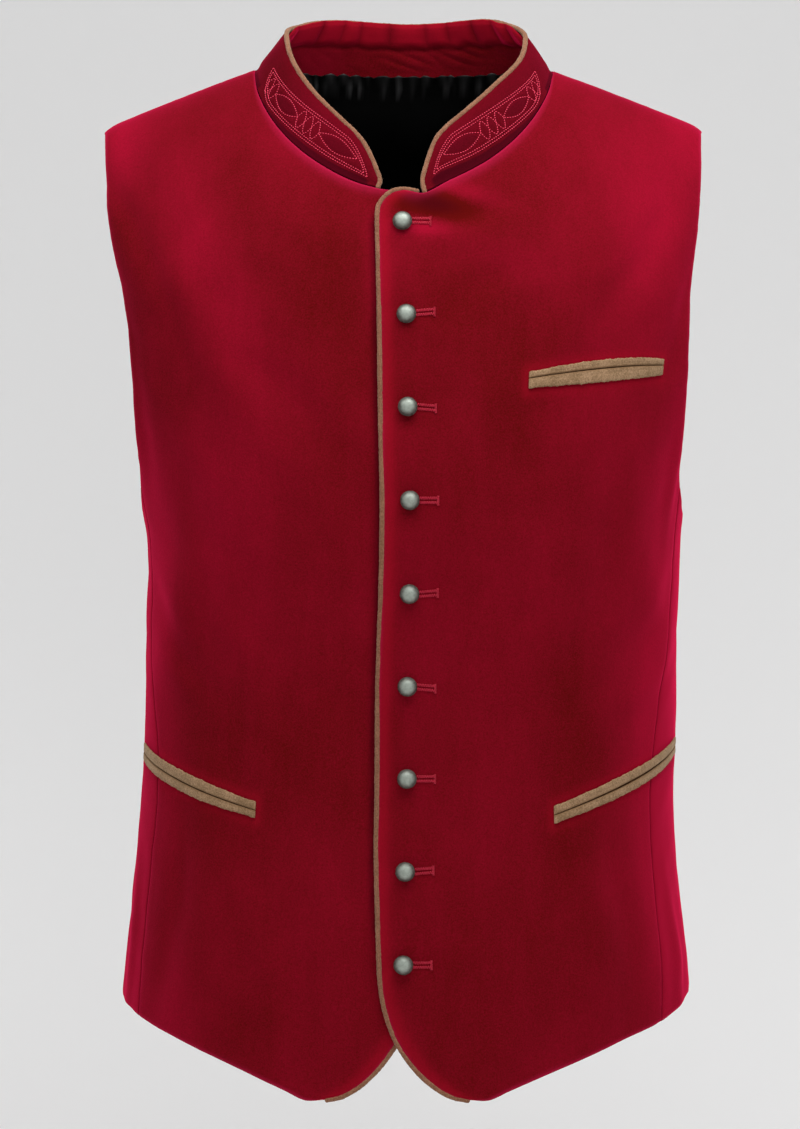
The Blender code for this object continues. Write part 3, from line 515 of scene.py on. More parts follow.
def pullIn(grid, edgeName, distance, fine=None):
    # moves an edge into the panel; the move fades over one cell of the cutting lines
    view = {"start": grid, "end": grid[::-1], "bottom": grid.swapaxes(0, 1),
            "top": grid.swapaxes(0, 1)[::-1]}[edgeName]
    fine = fine or cloth["fine"]
    edge = view[0].copy()
    distance = np.asarray(distance, float)
    if distance.ndim and len(distance) != len(edge):
        distance = np.interp(np.arange(len(edge)) / fine, np.arange(len(distance)), distance)
    along = unit(np.gradient(edge, axis=0))
    inward = view[2 * fine] - edge
    inward = unit(inward - along * (inward * along).sum(-1, keepdims=True))
    fade = (1 - np.arange(fine) / fine)[:, None, None]
    view[:fine] += fade * np.broadcast_to(distance, len(edge))[None, :, None] * inward[None]


def gridNormals(grid):
    # across the steps to the neighbours in both directions
    return unit(np.cross(np.gradient(grid, axis=0), np.gradient(grid, axis=1)))


def edgeSampled(grid):
    # the grid again, with close lines beside its four edges
    lines = cloth["edgeLines"]
    for axis in (0, 1):
        grid = grid.swapaxes(0, axis)
        last = len(grid) - 1
        at = np.concatenate([lines, np.arange(1, last), last - np.array(lines[::-1])])
        i = np.minimum(at.astype(int), last - 1)
        share = (at - i)[:, None, None]
        grid = (grid[i] * (1 - share) + grid[i + 1] * share).swapaxes(0, axis)
    return grid


def edgeDistances(grid):
    # length of cloth from each point to the start, end, bottom and top edges
    found = []
    for axis in (0, 1):
        view = grid.swapaxes(0, axis)
        steps = np.linalg.norm(np.diff(view, axis=0), axis=-1)
        run = np.concatenate([np.zeros((1, steps.shape[1])), np.cumsum(steps, 0)])
        for one in (run, run[-1:] - run):
            found.append(one.swapaxes(0, axis))
    return found


def quadsOf(index, flip=False):
    # one four-sided face for each cell of a grid of point numbers
    corners = [index[:-1, :-1], index[1:, :-1], index[1:, 1:], index[:-1, 1:]]
    quads = np.stack([c.ravel() for c in corners], -1)
    return quads[:, ::-1] if flip else quads


def addObject(name, data):
    added = bpy.data.objects.new(name, data)
    bpy.context.scene.collection.objects.link(added)
    return added


def meshPiece(name, points, faces, uv=None, faceSlots=None, extra=None):
    # one object from whole arrays; uv and extra hold a value for each point
    mesh = bpy.data.meshes.new(name)
    faces = [np.asarray(group, int) for group in (faces if isinstance(faces, list) else [faces])]
    mesh.vertices.add(len(points))
    mesh.vertices.foreach_set("co", np.asarray(points, np.float32).ravel())
    corners = np.concatenate([group.ravel() for group in faces])
    sizes = np.concatenate([np.full(len(group), group.shape[1]) for group in faces])
    mesh.loops.add(len(corners))
    mesh.loops.foreach_set("vertex_index", corners.astype(np.int32))
    mesh.polygons.add(len(sizes))
    starts = np.concatenate([[0], np.cumsum(sizes)[:-1]])
    mesh.polygons.foreach_set("loop_start", starts.astype(np.int32))
    if faceSlots is not None:
        mesh.polygons.foreach_set("material_index", np.asarray(faceSlots, np.int32))
    if uv is not None:
        layer = mesh.uv_layers.new(name="cloth")
        layer.data.foreach_set("uv", np.asarray(uv, np.float32)[corners].ravel())
    for key, values in (extra or {}).items():
        mark = mesh.attributes.new(key, "FLOAT", "POINT")
        mark.data.foreach_set("value", np.asarray(values, np.float32).ravel())
    mesh.update(calc_edges=True)
    mesh.validate()
    mesh.shade_smooth()
    return addObject(name, mesh)


def clothShell(name, middle, normal, thickness, shaped=None, extra=None, more=()):
    # closed wall about a grid: half the thickness to each side, rounded off at the edges as
    # the root of 1 - (1 - distance / reach)^2; both sides share their edge points.
    # distances holds those from the start, end, bottom and top edges, then the values of more
    middle, normal = edgeSampled(middle), unit(edgeSampled(normal))
    distances = edgeDistances(middle) + [edgeSampled(one[..., None])[..., 0] for one in more]
    if shaped is not None:
        middle = middle + shaped(middle, distances)[..., None] * normal
    if (gridNormals(middle) * normal).sum() < 0:
        middle, normal = middle[::-1], normal[::-1]
        distances = [one[::-1] for one in distances]
    near = np.minimum.reduce(distances[:4])
    half = thickness / 2 * np.sqrt(1 - (1 - np.minimum(near / cloth["edgeRound"], 1)) ** 2)
    outer = middle + half[..., None] * normal
    inner = (middle - half[..., None] * normal)[1:-1, 1:-1]
    columns, rows = middle.shape[:2]
    outerIndex = np.arange(columns * rows).reshape(columns, rows)
    innerIndex = outerIndex.copy()
    innerCount = (columns - 2) * (rows - 2)
    innerIndex[1:-1, 1:-1] = columns * rows + np.arange(innerCount).reshape(inner.shape[:2])
    quads = np.concatenate([quadsOf(outerIndex), quadsOf(innerIndex, True)])
    slots = np.repeat([0, 1], (columns - 1) * (rows - 1))
    uv = np.stack([distances[0], distances[2]], -1)
    def bothSides(values):
        inside = values[1:-1, 1:-1]
        return np.concatenate([one.reshape(-1, *values.shape[2:]) for one in (values, inside)])
    values = {key: bothSides(value) for key, value in (extra(middle, distances) if extra else {}).items()}
    points = np.concatenate([outer.reshape(-1, 3), inner.reshape(-1, 3)])
    piece = meshPiece(name, points, quads, bothSides(uv), slots, values)
    corner = middle[:-1, :-1]
    cells = np.cross(middle[1:, :-1] - corner, middle[:-1, 1:] - corner)
    piece["cutArea"] = float(np.linalg.norm(cells, axis=-1).sum())
    piece["cutSize"] = [float(distances[0].max()), float(distances[2].max())]
    return piece


edgeFinish = {
    "dip": 0.00022, "dipReach": 0.0014,  # the cloth sinks beside a seam
    "swell": 0.00010, "swellAt": 0.0052, "swellReach": 0.0032,  # and swells a little further in
    "pucker": 0.00011, "puckerLength": 0.0120, "puckerReach": 0.0075, "puckerLean": 0.7,
}


def seamShape(middle, distances):
    # dip at the edge, swell beyond it, and small puckers along it
    finish, near = edgeFinish, np.minimum.reduce(distances[:4])
    shift = finish["swell"] * bell(near - finish["swellAt"], finish["swellReach"])
    shift = shift - finish["dip"] * bell(near, finish["dipReach"])
    across = middle[..., 0] + finish["puckerLean"] * middle[..., 1]
    ripple = softNoise(across / finish["puckerLength"], middle[..., 2] / finish["puckerLength"], 21)
    return shift + finish["pucker"] * ripple * bell(near, finish["puckerReach"])


closing = {
    "buttonTop": -0.1030, "buttonSpacing": 0.0592, "buttons": 9,
    "sink": 0.0005, "sinkReach": 0.0085,  # the cloth sinks under each button
    # short pulls on both sides of it, leaning up and down by turns; weaker on the lower front
    "pull": 0.00035, "pullReach": 0.010, "pullWidth": 0.0038, "pullAt": 0.018, "pullLean": 0.25,
    "pullUnder": 0.5,
    # a soft swell beside the closing edge and a dip further in: depth, place, reach
    "swells": [(0.00045, 0.0085, 0.0045), (-0.00040, 0.034, 0.0060)],
}


def buttonHeight(number):
    return np.array([closing["buttonTop"] - number * closing["buttonSpacing"]])


def buttonPlace(number):
    height = buttonHeight(number)
    return placeSeenAt(lineOf(height, "lineMiddle"), height)


def closingShape(side):
    # the seams' shape, swells along the closing, and at each button a round dip and two pulls,
    # all of them bells
    strength = closing["pull"] * (1 if side > 0 else closing["pullUnder"])
    def shape(middle, distances):
        shift = seamShape(middle, distances)
        for depth, at, reach in closing["swells"]:
            shift = shift + depth * bell(distances[0] - at, reach)
        for number in range(closing["buttons"]):
            level = buttonHeight(number)
            across = middle[..., 0] - lineOf(level, "lineMiddle")
            up = middle[..., 2] - level
            shift = shift - closing["sink"] * bell(np.hypot(across, up), closing["sinkReach"])
            lean = up - closing["pullLean"] * (-1) ** number * across
            beside = np.abs(across) - closing["pullAt"]
            pull = bell(lean, closing["pullWidth"]) * bell(beside, closing["pullReach"])
            shift = shift - strength * pull
        return shift
    return shape


def creased(grid, places, strength=1.0):
    # the small creases, fading out towards the shoulder
    bulge = easeStep(places[..., 1], 0.0, creases["topFade"])
    shift = smallCreases(places[..., 0], grid[..., 2]) * bulge * strength
    return grid + shift[..., None] * outwardNormal(places)


def makeFront(side, name):
    places = frontPlaces(side)
    grid = creased(frontCloth(side, places), places)
    columns = 1 + (len(grid) - 1) // cloth["fine"]
    rows = 1 + (grid.shape[1] - 1) // cloth["fine"]
    topRoom = np.full(columns, cloth["seamGap"] / 2)
    topRoom[:2] = trim["edgeRoom"]
    closingRoom = np.full(rows, trim["edgeRoom"])
    closingRoom[-1] = 0
    pullIn(grid, "top", topRoom)
    pullIn(grid, "start", closingRoom)
    pullIn(grid, "end", cloth["seamGap"] / 2)
    marks = leftFrontMarks if side > 0 else rightFrontMarks
    return clothShell(name, grid, outwardNormal(places), cloth["wall"], closingShape(side), marks,
                      (places[..., 0],))


pileMarks = {
    # place from an edge and reach: the painted highlight along the edges, the painted shade in the seams, and
    # the painted highlight by the neck
    "rimHighlightAt": (0.0006, 0.0013), "seamAt": (0.0002, 0.0007), "neckHighlightAt": (0.0035, 0.0042),
    "seamShade": 0.34, "neckHighlight": 0.55,
    "darkNapShade": (0.9, 0.35, 0.6),  # painted shade in the darkest areas of nap: strength, threshold and limit
    "armholeUp": (0.01, 0.03),  # above the armhole's bottom
    "armholeFront": (0.70, 0.85),  # the painted edge highlight ends where the cloth faces forwards
    "seamOff": 0.02, "sideNapLight": 0.30,
    # pile laid over, with a painted highlight, beside the closing edge and round the pockets
    "closingAt": (0.0040, 0.0046), "closingFrom": 0.002, "pocketReach": 0.0042, "pocketShare": 0.8,
    "closingShade": (0.001, 0.004),
    # painted shadow beside the upper front's cord, cast on the lower front
    "cordAt": (0.0026, 0.0020), "cordShade": 0.62, "cordFrom": 0.03, "cordTop": (-0.106, -0.096),
}


def lineMark(distance, name):
    # a bell about the named place from an edge
    at, reach = pileMarks[name]
    return bell(distance - at, reach)


def panelMarks(middle, distances):
    # nap: brushed pile with painted light and shade; rim: painted highlight along the hem, neck and armhole,
    # with the pile opened at the fold; shade: painted shade in the seams and the darkest areas
    level = middle[..., 2]
    sides = np.minimum(distances[0], distances[1])
    armhole = easeStep(level - cut["armBottom"], *pileMarks["armholeUp"])
    armhole = armhole * (1 - easeStep(-np.cos(distances[4]), *pileMarks["armholeFront"]))
    near = np.minimum(np.minimum(distances[2], distances[3]), sides + pileMarks["seamOff"] * (1 - armhole))
    napLightShade = napLightShadeAreas(distances[4], level)
    strength, threshold, limit = pileMarks["darkNapShade"]
    shade = np.maximum(pileMarks["seamShade"] * lineMark(sides, "seamAt") * (1 - armhole),
                       np.clip(-strength * napLightShade - threshold, 0, limit))
    return {"napLightShade": napLightShade, "rimHighlight": lineMark(near, "rimHighlightAt"), "shade": shade}


def sideMarks(middle, distances):
    # the side pieces look lighter: partly their pile lies the other way, partly light is painted on them
    marks = panelMarks(middle, distances)
    marks["napLightShade"] = marks["napLightShade"] + pileMarks["sideNapLight"]
    return marks


def leftFrontMarks(middle, distances):
    # 1 beside the closing edge and round the pockets, where the pile is laid over and a highlight is painted
    marks = panelMarks(middle, distances)
    fromEdge = distances[0]
    beside = lineMark(fromEdge, "closingAt") * easeStep(fromEdge, 0, pileMarks["closingFrom"])
    degrees, height = np.degrees(distances[4]), middle[..., 2]
    around = np.zeros(height.shape)
    for pocket in pockets.values():
        inner, outer = pocket["angle"]
        above, below = pocket["lips"]
        share = (degrees - inner) / (outer - inner)
        slit = pocketLine(pocket, np.clip(share, 0, 1))[1]
        outside = np.maximum(np.maximum(height - slit - above, slit - below - height), 0)
        ends = np.maximum(np.maximum(-share, share - 1), 0)
        ends = ends * abs(outer - inner) * creases["metresADegree"]
        around = np.maximum(around, bell(np.hypot(outside, ends), pileMarks["pocketReach"]))
    marks["pressedAndHighlight"] = beside + pileMarks["pocketShare"] * around
    # painted highlight along the closing edge, and a broader one by the neck
    marks["rimHighlight"] = np.maximum(marks["rimHighlight"], lineMark(fromEdge, "rimHighlightAt"))
    marks["rimHighlight"] = marks["rimHighlight"] + pileMarks["neckHighlight"] * lineMark(distances[3], "neckHighlightAt")
    marks["shade"] = marks["shade"] * easeStep(fromEdge, *pileMarks["closingShade"])
    return marks


def rightFrontMarks(middle, distances):
    # the same, and a painted shadow along the left front's cord
    marks = leftFrontMarks(middle, distances)
    height = middle[..., 2]
    cordAt = lineOf(height, "lineMiddle") - lineOf(height, "lineOverhang")
    beside = lineMark(cordAt - middle[..., 0], "cordAt")
    beside = beside * easeStep(height, cut["cutStart"], cut["cutStart"] + pileMarks["cordFrom"])
    beside = beside * (1 - easeStep(height, *pileMarks["cordTop"]))
    marks["shade"] = np.maximum(marks["shade"], pileMarks["cordShade"] * beside)
    return marks


def makePanel(name, places, edges, marks):
    # a creased wall on the common surface, with half the seam's gap at these edges
    grid = creased(surfaceAt(places), places)
    for edge in edges:
        pullIn(grid, edge, cloth["seamGap"] / 2)
    return clothShell(name, grid, outwardNormal(places), cloth["wall"], seamShape, marks, (places[..., 0],))


def makeSide(side, name):
    return makePanel(name, sidePlaces(side), ("start", "end"), sideMarks)


def makeBack(side, name):
    places = backPlaces()
    middle = len(places) // 2
    half = places[middle:] if side > 0 else places[:middle + 1]
    return makePanel(name, half, ("start", "end", "top"), panelMarks)


trim = {
    "cordRadius": 0.0016, "edgeRoom": 0.0004,  # the cloth's edge is inside the cord
    "cordRun": {1: 0.68, -1: 0.28},  # share of the front neck edge that the cord follows
    "cordStep": 0.0010, "cordSides": 14, "cordStart": (0.3, 0.2, 0.9),
    "twistPitch": 0.0030, "twistDepth": 0.00005, "fuzz": 0.00011,
    "lumps": 0.00009, "lumpLength": 0.009, "lumpRound": 0.8,
    # rounded ends, in radii: size of each ring and its way out, and the tip's way out
    "capRings": ((0.80, 0.35), (0.40, 0.60)), "capTip": 0.68,
}

lining = {
    "wall": 0.0010, "gap": 0.0008, "margin": 0.0015, "creases": 0.8,
    "topReach": 0.0022, "scallop": 0.0013,  # above the neck seam, and its scalloped edge
    "neckFrom": 0.086, "neckTo": 0.096, "gatherTo": 0.098,  # from the middle
    "gather": 0.0042, "gatherFrom": 0.003, "gatherReach": 0.0085, "gatherLength": 0.0090,
    "gatherLift": 0.26, "gatherPush": (0.0, -1.0, 0.25), "lean": 0.45,
    "sway": 0.5, "swayLength": 0.03, "swayFall": 0.10,
    # soft unevenness: mean, change, and the lengths of its waves across and down
    "scallopSize": (0.55, 0.45, 0.02, 1), "foldSize": (0.75, 0.35, 0.021, 0.03),
    "foldFine": (0, 0.12, 0.006, 0.02), "drape": (0, 0.0005, 0.045, 0.12), "drapeFrom": 0.03,
    # the light on the crests of the gathers, broken up along them
    "broken": (0.85, 0.70, 0.011, 0.010), "brokenSlant": 0.02,
    "crestFrom": 0.30, "crestFade": 0.10, "crestTop": (-0.001, 0.002),
}


def uneven(name, x, down, seed, slant=0):
    # mean plus change times soft noise
    mean, change, length, fall = lining[name]
    return mean + change * softNoise(x / length + slant, down / fall, seed)


def gatherWave(run, x, down):
    # |sin| of pi times the run in gathers, swayed by soft noise
    sway = lining["sway"] * softNoise(x / lining["swayLength"], down / lining["swayFall"], 34)
    return np.abs(np.sin(math.pi * (run / lining["gatherLength"] + sway)))


def makeLining():
    # the back again, inside it; gathered where it is sewn to the collar
    v = lining
    places = backPlaces()
    places = refine(places.reshape(len(places), -1), fine=2).reshape(-1, *places.shape[1:])[:, ::2]
    normal = outwardNormal(places)
    grid = creased(surfaceAt(places), places, v["creases"])
    for edge in ("start", "end", "bottom"):
        pullIn(grid, edge, v["margin"])
    top = grid[:, -1, 0]
    inNeck = 1 - easeStep(np.abs(top), v["neckFrom"], v["neckTo"])
    scallop = gatherWave(top, top, 0 * top) * uneven("scallopSize", top, 0 * top, 37)
    pullIn(grid, "top", v["margin"] * (1 - inNeck) - (v["topReach"] + v["scallop"] * scallop) * inNeck)
    grid = grid - ((cloth["wall"] + v["wall"]) / 2 + v["gap"]) * normal
    steps = np.linalg.norm(np.diff(grid, axis=1), axis=-1)
    fromTop = np.concatenate([np.cumsum(steps[:, ::-1], 1)[:, ::-1], np.zeros((len(grid), 1))], 1)
    x = grid[..., 0]
    lean = x + v["lean"] * fromTop * softNoise(x / v["swayLength"], 0 * x, 38)
    fold = gatherWave(lean, x, fromTop) * uneven("foldSize", x, fromTop, 35)
    fold = fold + uneven("foldFine", x, fromTop, 32)
    reach = np.where(fromTop < v["gatherFrom"], 1, bell(fromTop - v["gatherFrom"], v["gatherReach"]))
    beside = 1 - easeStep(np.abs(x), v["neckFrom"], v["gatherTo"])
    amount = v["gather"] * np.maximum(fold + v["gatherLift"], 0) * reach * beside
    grid = grid + amount[..., None] * np.array(v["gatherPush"])
    broken = uneven("broken", x, fromTop, 36, fromTop / v["brokenSlant"])
    crestHighlight = easeStep(fold, v["crestFrom"], 1.0) * np.clip(reach - v["crestFade"], 0, 1)
    crestHighlight = crestHighlight * np.clip(broken, 0, 1) * easeStep(fromTop, *v["crestTop"]) * beside
    def drape(middle, distances):
        soft = uneven("drape", middle[..., 0], middle[..., 2], 33)
        return -np.abs(soft) * easeStep(distances[3], 0, v["drapeFrom"])
    def marks(middle, distances):
        # painted highlight on the crests of the gathers
        return {"crestHighlight": distances[4]}
    return clothShell("backLining", grid, normal, v["wall"], drape, marks, (crestHighlight,))


collar = {
    "wall": 0.0016, "foot": 0.0003, "axis": -0.010, "stations": 44, "rows": 3, "fine": 12,
    "neckPoints": 24,  # of each quarter of the neckline
    "along": [0, .02, .05, .09, .16, .30, .45, .58, .70, .80, .90, 1],
    "rise": {-1: [.0080, .0175, .0278, .0334, .0363, .0357, .0330, .0338, .0388, .0389, .0367, .0350],
             1: [.0118, .0225, .0328, .0375, .0394, .0367, .0298, .0326, .0402, .0388, .0362, .0350]},
    "lean": {-1: [28, 29, 31, 33, 35, 37, 39, 38, 31, 25, 19, 15],
             1: [28, 29, 31, 33, 35, 35.5, 34, 35.5, 32, 25, 19, 15]},
    "grooveDepth": 0.0008, "grooveAt": 0.09, "grooveWidth": 0.10,  # pressed band above the seam
    "stitchSink": 0.00042, "stitchReach": 0.00085,  # the cloth sinks along the stitches
    "puff": 0.00040, "puffFrom": (0.0004, 0.0024),  # and puffs up between them
    "figureEdge": 0.06, "figureEnd": 0.006, "endFlat": (0.001, 0.010),
    "wobble": 0.00020, "wobbleLength": 0.03,
    # shading: below the figure, on the plain part, in the leaves, and along the top
    "endLight": (0.003, 0.009), "footUp": 0.16, "footShade": (0.07, 0.02),
    "plainShade": 0.50, "frontShade": 0.06, "plainFrom": (0.13, 0.20),
    "leafShade": 0.72, "leafFrom": (0.12, 0.42), "topPressedAndHighlight": 0.4, "topReach": 0.006,
    "leastHalf": 0.02,  # half height of the figure past its end
}


def evenPath(path, count):
    # points at even steps along the path
    length = runAlong(path)
    return readAlong(np.linspace(0, length[-1], count), length, path)


def collarFrame():
    # foot of the collar, its slope and height, from the wearer's right end round the back
    count = collar["neckPoints"]
    right, left = frontCloth(-1, neckLine(-1, count)), frontCloth(1, neckLine(1, count))
    back = [surfaceAt(backNeckLine(side, count)) for side in (-1, 1)]
    path = np.concatenate([right, back[0][1:], back[1][::-1][1:], left[::-1][1:]])
    foot = evenPath(path, collar["stations"] + 1)
    station = np.linspace(-1, 1, len(foot))
    along = 1 - np.abs(station)
    sizes = {}
    for name in ("rise", "lean"):
        sizes[name] = np.where(station < 0, smoothCurve(along, collar["along"], collar[name][-1]),
                               smoothCurve(along, collar["along"], collar[name][1]))
    lean = np.radians(sizes["lean"])[:, None]
    inward = np.array([0.0, collar["axis"], 0.0]) - foot
    inward[:, 2] = 0
    way = np.sin(lean) * unit(inward) + np.cos(lean) * np.array([0.0, 0.0, 1.0])
    return foot, way, sizes["rise"], along


def collarCloth(rise):
    # length of cloth from the collar's foot to its cord
    return rise - collar["foot"] - trim["edgeRoom"]


def awayFromNeck(grid):
    normal = gridNormals(grid)
    centre = np.array([0.0, collar["axis"], 0.0]) - grid
    return -normal if (normal * centre).sum() > 0 else normal


def collarGrid():
    # straight up along the slope from the foot, smoothly filled in
    foot, way, rise = collarFrame()[:3]
    share = np.linspace(0, 1, collar["rows"] + 1)[None, :]
    reach = collar["foot"] + collarCloth(rise)[:, None] * share
    grid = refineGrid(foot[:, None] + reach[..., None] * way[:, None], collar["fine"])
    for edge in ("start", "end"):
        pullIn(grid, edge, trim["edgeRoom"], collar["fine"])
    return grid


def refineGrid(grid, fine):
    # both directions of a grid, smoothly filled in
    for axis in (0, 1):
        view = grid.swapaxes(0, axis)
        view = refine(view.reshape(len(view), -1), fine=fine).reshape(-1, *view.shape[1:])
        grid = view.swapaxes(0, axis)
    return grid


motif = {
    # upper and lower edge of the stitched figure as shares of the collar's height, by the run
    # from the collar's front end
    "run": [.006, .020, .037, .054, .075, .092, .105, .118, .126],
    "top": [.82, .81, .79, .76, .70, .64, .60, .56, .54],
    "bottom": [.25, .22, .20, .19, .16, .12, .09, .06, .05],
    "start": 0.0078, "end": 0.1250, "round": 0.024, "inner": 0.80,
    "innerInset": 0.0028, "roundPowers": (2.2, 0.62),
    "lift": 0.14, "liftFade": 0.024,  # the wearer's left end sits higher above the seam
    # where the two strands cross, how far each lobe between opens, and which lobes are leaves
    "cross": [.0175, .0525, .0600, .0675, .0750, .1040, .1115, .1185],
    "open": [.54, .66, .66, .66, .54, .66, .66], "leaves": (0, 4),
    "lobePower": 0.9, "leafPowers": (1.8, 1.6), "borderPoints": 300, "strandPoints": 420,
}


def motifLines():
    # the border and a second one inside it, both rounded in front and behind, and two strands
    # that cross: leaf, two lattice lobes, leaf, two lobes. Each line is (run, -1 to 1)
    m = motif
    lines = []
    squeeze, lift = m["roundPowers"]
    for scale, inset in ((1.0, 0.0), (m["inner"], m["innerInset"])):
        first, last = m["start"] + inset, m["end"] - inset
        run = np.linspace(first, last, m["borderPoints"])
        fromFront = np.clip((run - first) / m["round"], 0, 1)
        fromBack = np.clip((last - run) / m["round"], 0, 1)
        top = -1 + 2 * (1 - (1 - fromFront) ** squeeze) ** lift
        bottom = 1 - 2 * (1 - (1 - fromBack) ** squeeze) ** lift
        lines += [(run, scale * top), (run, scale * bottom)]
    run = np.linspace(m["cross"][0], m["cross"][-1], m["strandPoints"])
    lobe = np.clip(np.searchsorted(m["cross"], run) - 1, 0, len(m["open"]) - 1)
    cross, opening = np.array(m["cross"]), np.array(m["open"])
    share = (run - cross[lobe]) / (cross[lobe + 1] - cross[lobe])
    swing = (-1.0) ** lobe * opening[lobe] * np.sin(math.pi * np.clip(share, 0, 1)) ** m["lobePower"]
    return lines + [(run, swing), (run, -swing)]


def motifUp(run, level, left):
    # share of the collar's height at a level of the motif, -1 to 1; left is 1 on the wearer's left
    top, bottom = (smoothCurve(run, motif["run"], motif[name]) for name in ("top", "bottom"))
    return (top + bottom) / 2 + (top - bottom) / 2 * level + left * motifLift(run, level)


def motifLift(run, level):
    # most at the collar's end and at the lower border, fading as exp(-run / fade)
    return motif["lift"] * np.exp(-run / motif["liftFade"]) * (1 - level) / 2


def nearMotif(run, up, height, left):
    # distance of each point from the nearest stitched line
    nearest = np.full(run.shape, 1.0)
    for lineRun, level in motifLines():
        lineUp, lift = motifUp(lineRun, level, 0), motifLift(lineRun, level)
        for k in range(0, len(lineRun), 3):
            above = (up - lineUp[k] - left * lift[k]) * height
            nearest = np.minimum(nearest, np.hypot(run - lineRun[k], above))
    return nearest


def inLeaf(run, level, lobe):
    # 1 less powers of the shares of its half length and half width
    start, end = motif["cross"][lobe:lobe + 2]
    lengthPower, widthPower = motif["leafPowers"]
    along = np.abs((run - (start + end) / 2) / ((end - start) / 2)) ** lengthPower
    return 1 - along - np.abs(level / motif["open"][lobe]) ** widthPower


collarSurface = {}  # filled in by makeCollar, read by the stitches


def makeCollar():
    v = collar
    grid = collarGrid()
    normal = awayFromNeck(grid)
    length = runAlong(grid[:, 0])
    run = np.minimum(length, length[-1] - length)[:, None] + 0 * grid[..., 0]
    up = np.linspace(0, 1, grid.shape[1])[None] + 0 * grid[..., 0]
    left = 1.0 * (length > length[-1] / 2)[:, None] + 0 * grid[..., 0]
    collarSurface.update(points=grid, normals=normal, run=length)
    def shape(middle, distances):
        # a groove above the seam, grooves along the stitches and a puff between them
        run, up, left = distances[4:]
        height = distances[2] + distances[3]
        ends = easeStep(np.minimum(distances[0], distances[1]), *v["endFlat"])
        shift = -v["grooveDepth"] * bell(up - v["grooveAt"], v["grooveWidth"]) * ends
        inFigure = np.clip((up - motifUp(run, -1.0, left)) / v["figureEdge"] + 0.5, 0, 1)
        inFigure = inFigure * np.clip((motifUp(run, 1.0, left) - up) / v["figureEdge"] + 0.5, 0, 1)
        inFigure = inFigure * (1 - easeStep(run, motif["end"] - v["figureEnd"], motif["end"]))
        gap = nearMotif(run, up, height, left)
        shift = shift - v["stitchSink"] * bell(gap, v["stitchReach"])
        shift = shift + v["puff"] * easeStep(gap, *v["puffFrom"]) * inFigure
        x, y, z = (middle[..., axis] / v["wobbleLength"] for axis in range(3))
        return shift + v["wobble"] * softNoise(x, z + y, 41)
    def marks(middle, distances):
        run, up, left = distances[4:]
        ends = easeStep(np.minimum(distances[0], distances[1]), *v["endLight"])
        low = np.where(run < motif["end"], motifUp(run, -1.0, left), v["footUp"])
        start, end = v["footShade"]
        shade = (1 - easeStep(up, low - start, low - end)) * ends
        fade = easeStep(run, *v["plainFrom"])
        shade = np.maximum(shade, v["plainShade"] - (v["plainShade"] - v["frontShade"]) * fade)
        middleUp = motifUp(run, 0.0, left)
        half = np.maximum(motifUp(run, 1.0, left) - middleUp, v["leastHalf"])
        level = (up - middleUp) / half
        for lobe in motif["leaves"]:
            shade = np.maximum(shade, v["leafShade"] * easeStep(inLeaf(run, level, lobe), *v["leafFrom"]))
        # painted highlight along the top, by the cord
        return {"pressedAndHighlight": bell(distances[3], v["topReach"]) * v["topPressedAndHighlight"], "shade": shade}
    return clothShell("standCollar", grid, normal, v["wall"], shape, marks, (run, up, left))


band = {
    "wall": 0.0012, "gap": 0.0005, "start": 0.36, "foot": 0.0003, "columns": 460, "rows": 52,
    "lower": 0.0012,  # its top below the cord's, towards the front
    # puckers: sway and size with the number of their waves, and how they flatten at the top
    "puckers": 15, "pucker": 0.0019, "puckerPower": 0.9, "puckerSway": (0.34, 5),
    "puckerSize": (0.62, 0.38, 9), "puckerFlat": (0.45, 0.86),
    # the crease: place, sway, spread; the swell above it; where the puckers start
    "crease": 0.56, "creaseDepth": 0.0008, "creaseSway": (0.03, 11), "creaseSpread": 0.045,
    "swell": (0.8, 0.13, 0.09), "upper": (0.02, 0.16),
    # the slack below: depth, waves along, slant, waves up, and where it starts
    "slack": (0.0008, 9, 1.6, 1.2), "slackFrom": (0.08, 0.3),
    # over the cord behind, with a wavy edge that is tucked in
    "rollOver": 0.0001, "rollInset": 0.0024, "rollGap": 0.0012, "rollFrom": 0.55, "rollTo": 0.60,
    "rollUp": (0.60, 0.86), "edgeWave": (0.00018, 26), "tuck": 0.0011, "tuckFrom": 0.94,
    # painted shade of the valleys and of the crease, and the painted highlight on the upper ridges
    "valleyPower": 2.2, "valleyUp": (1.2, 0.5), "creaseShade": (0.6, 0.05),
    "shade": 0.42, "pressedAndHighlight": 1.3,
}


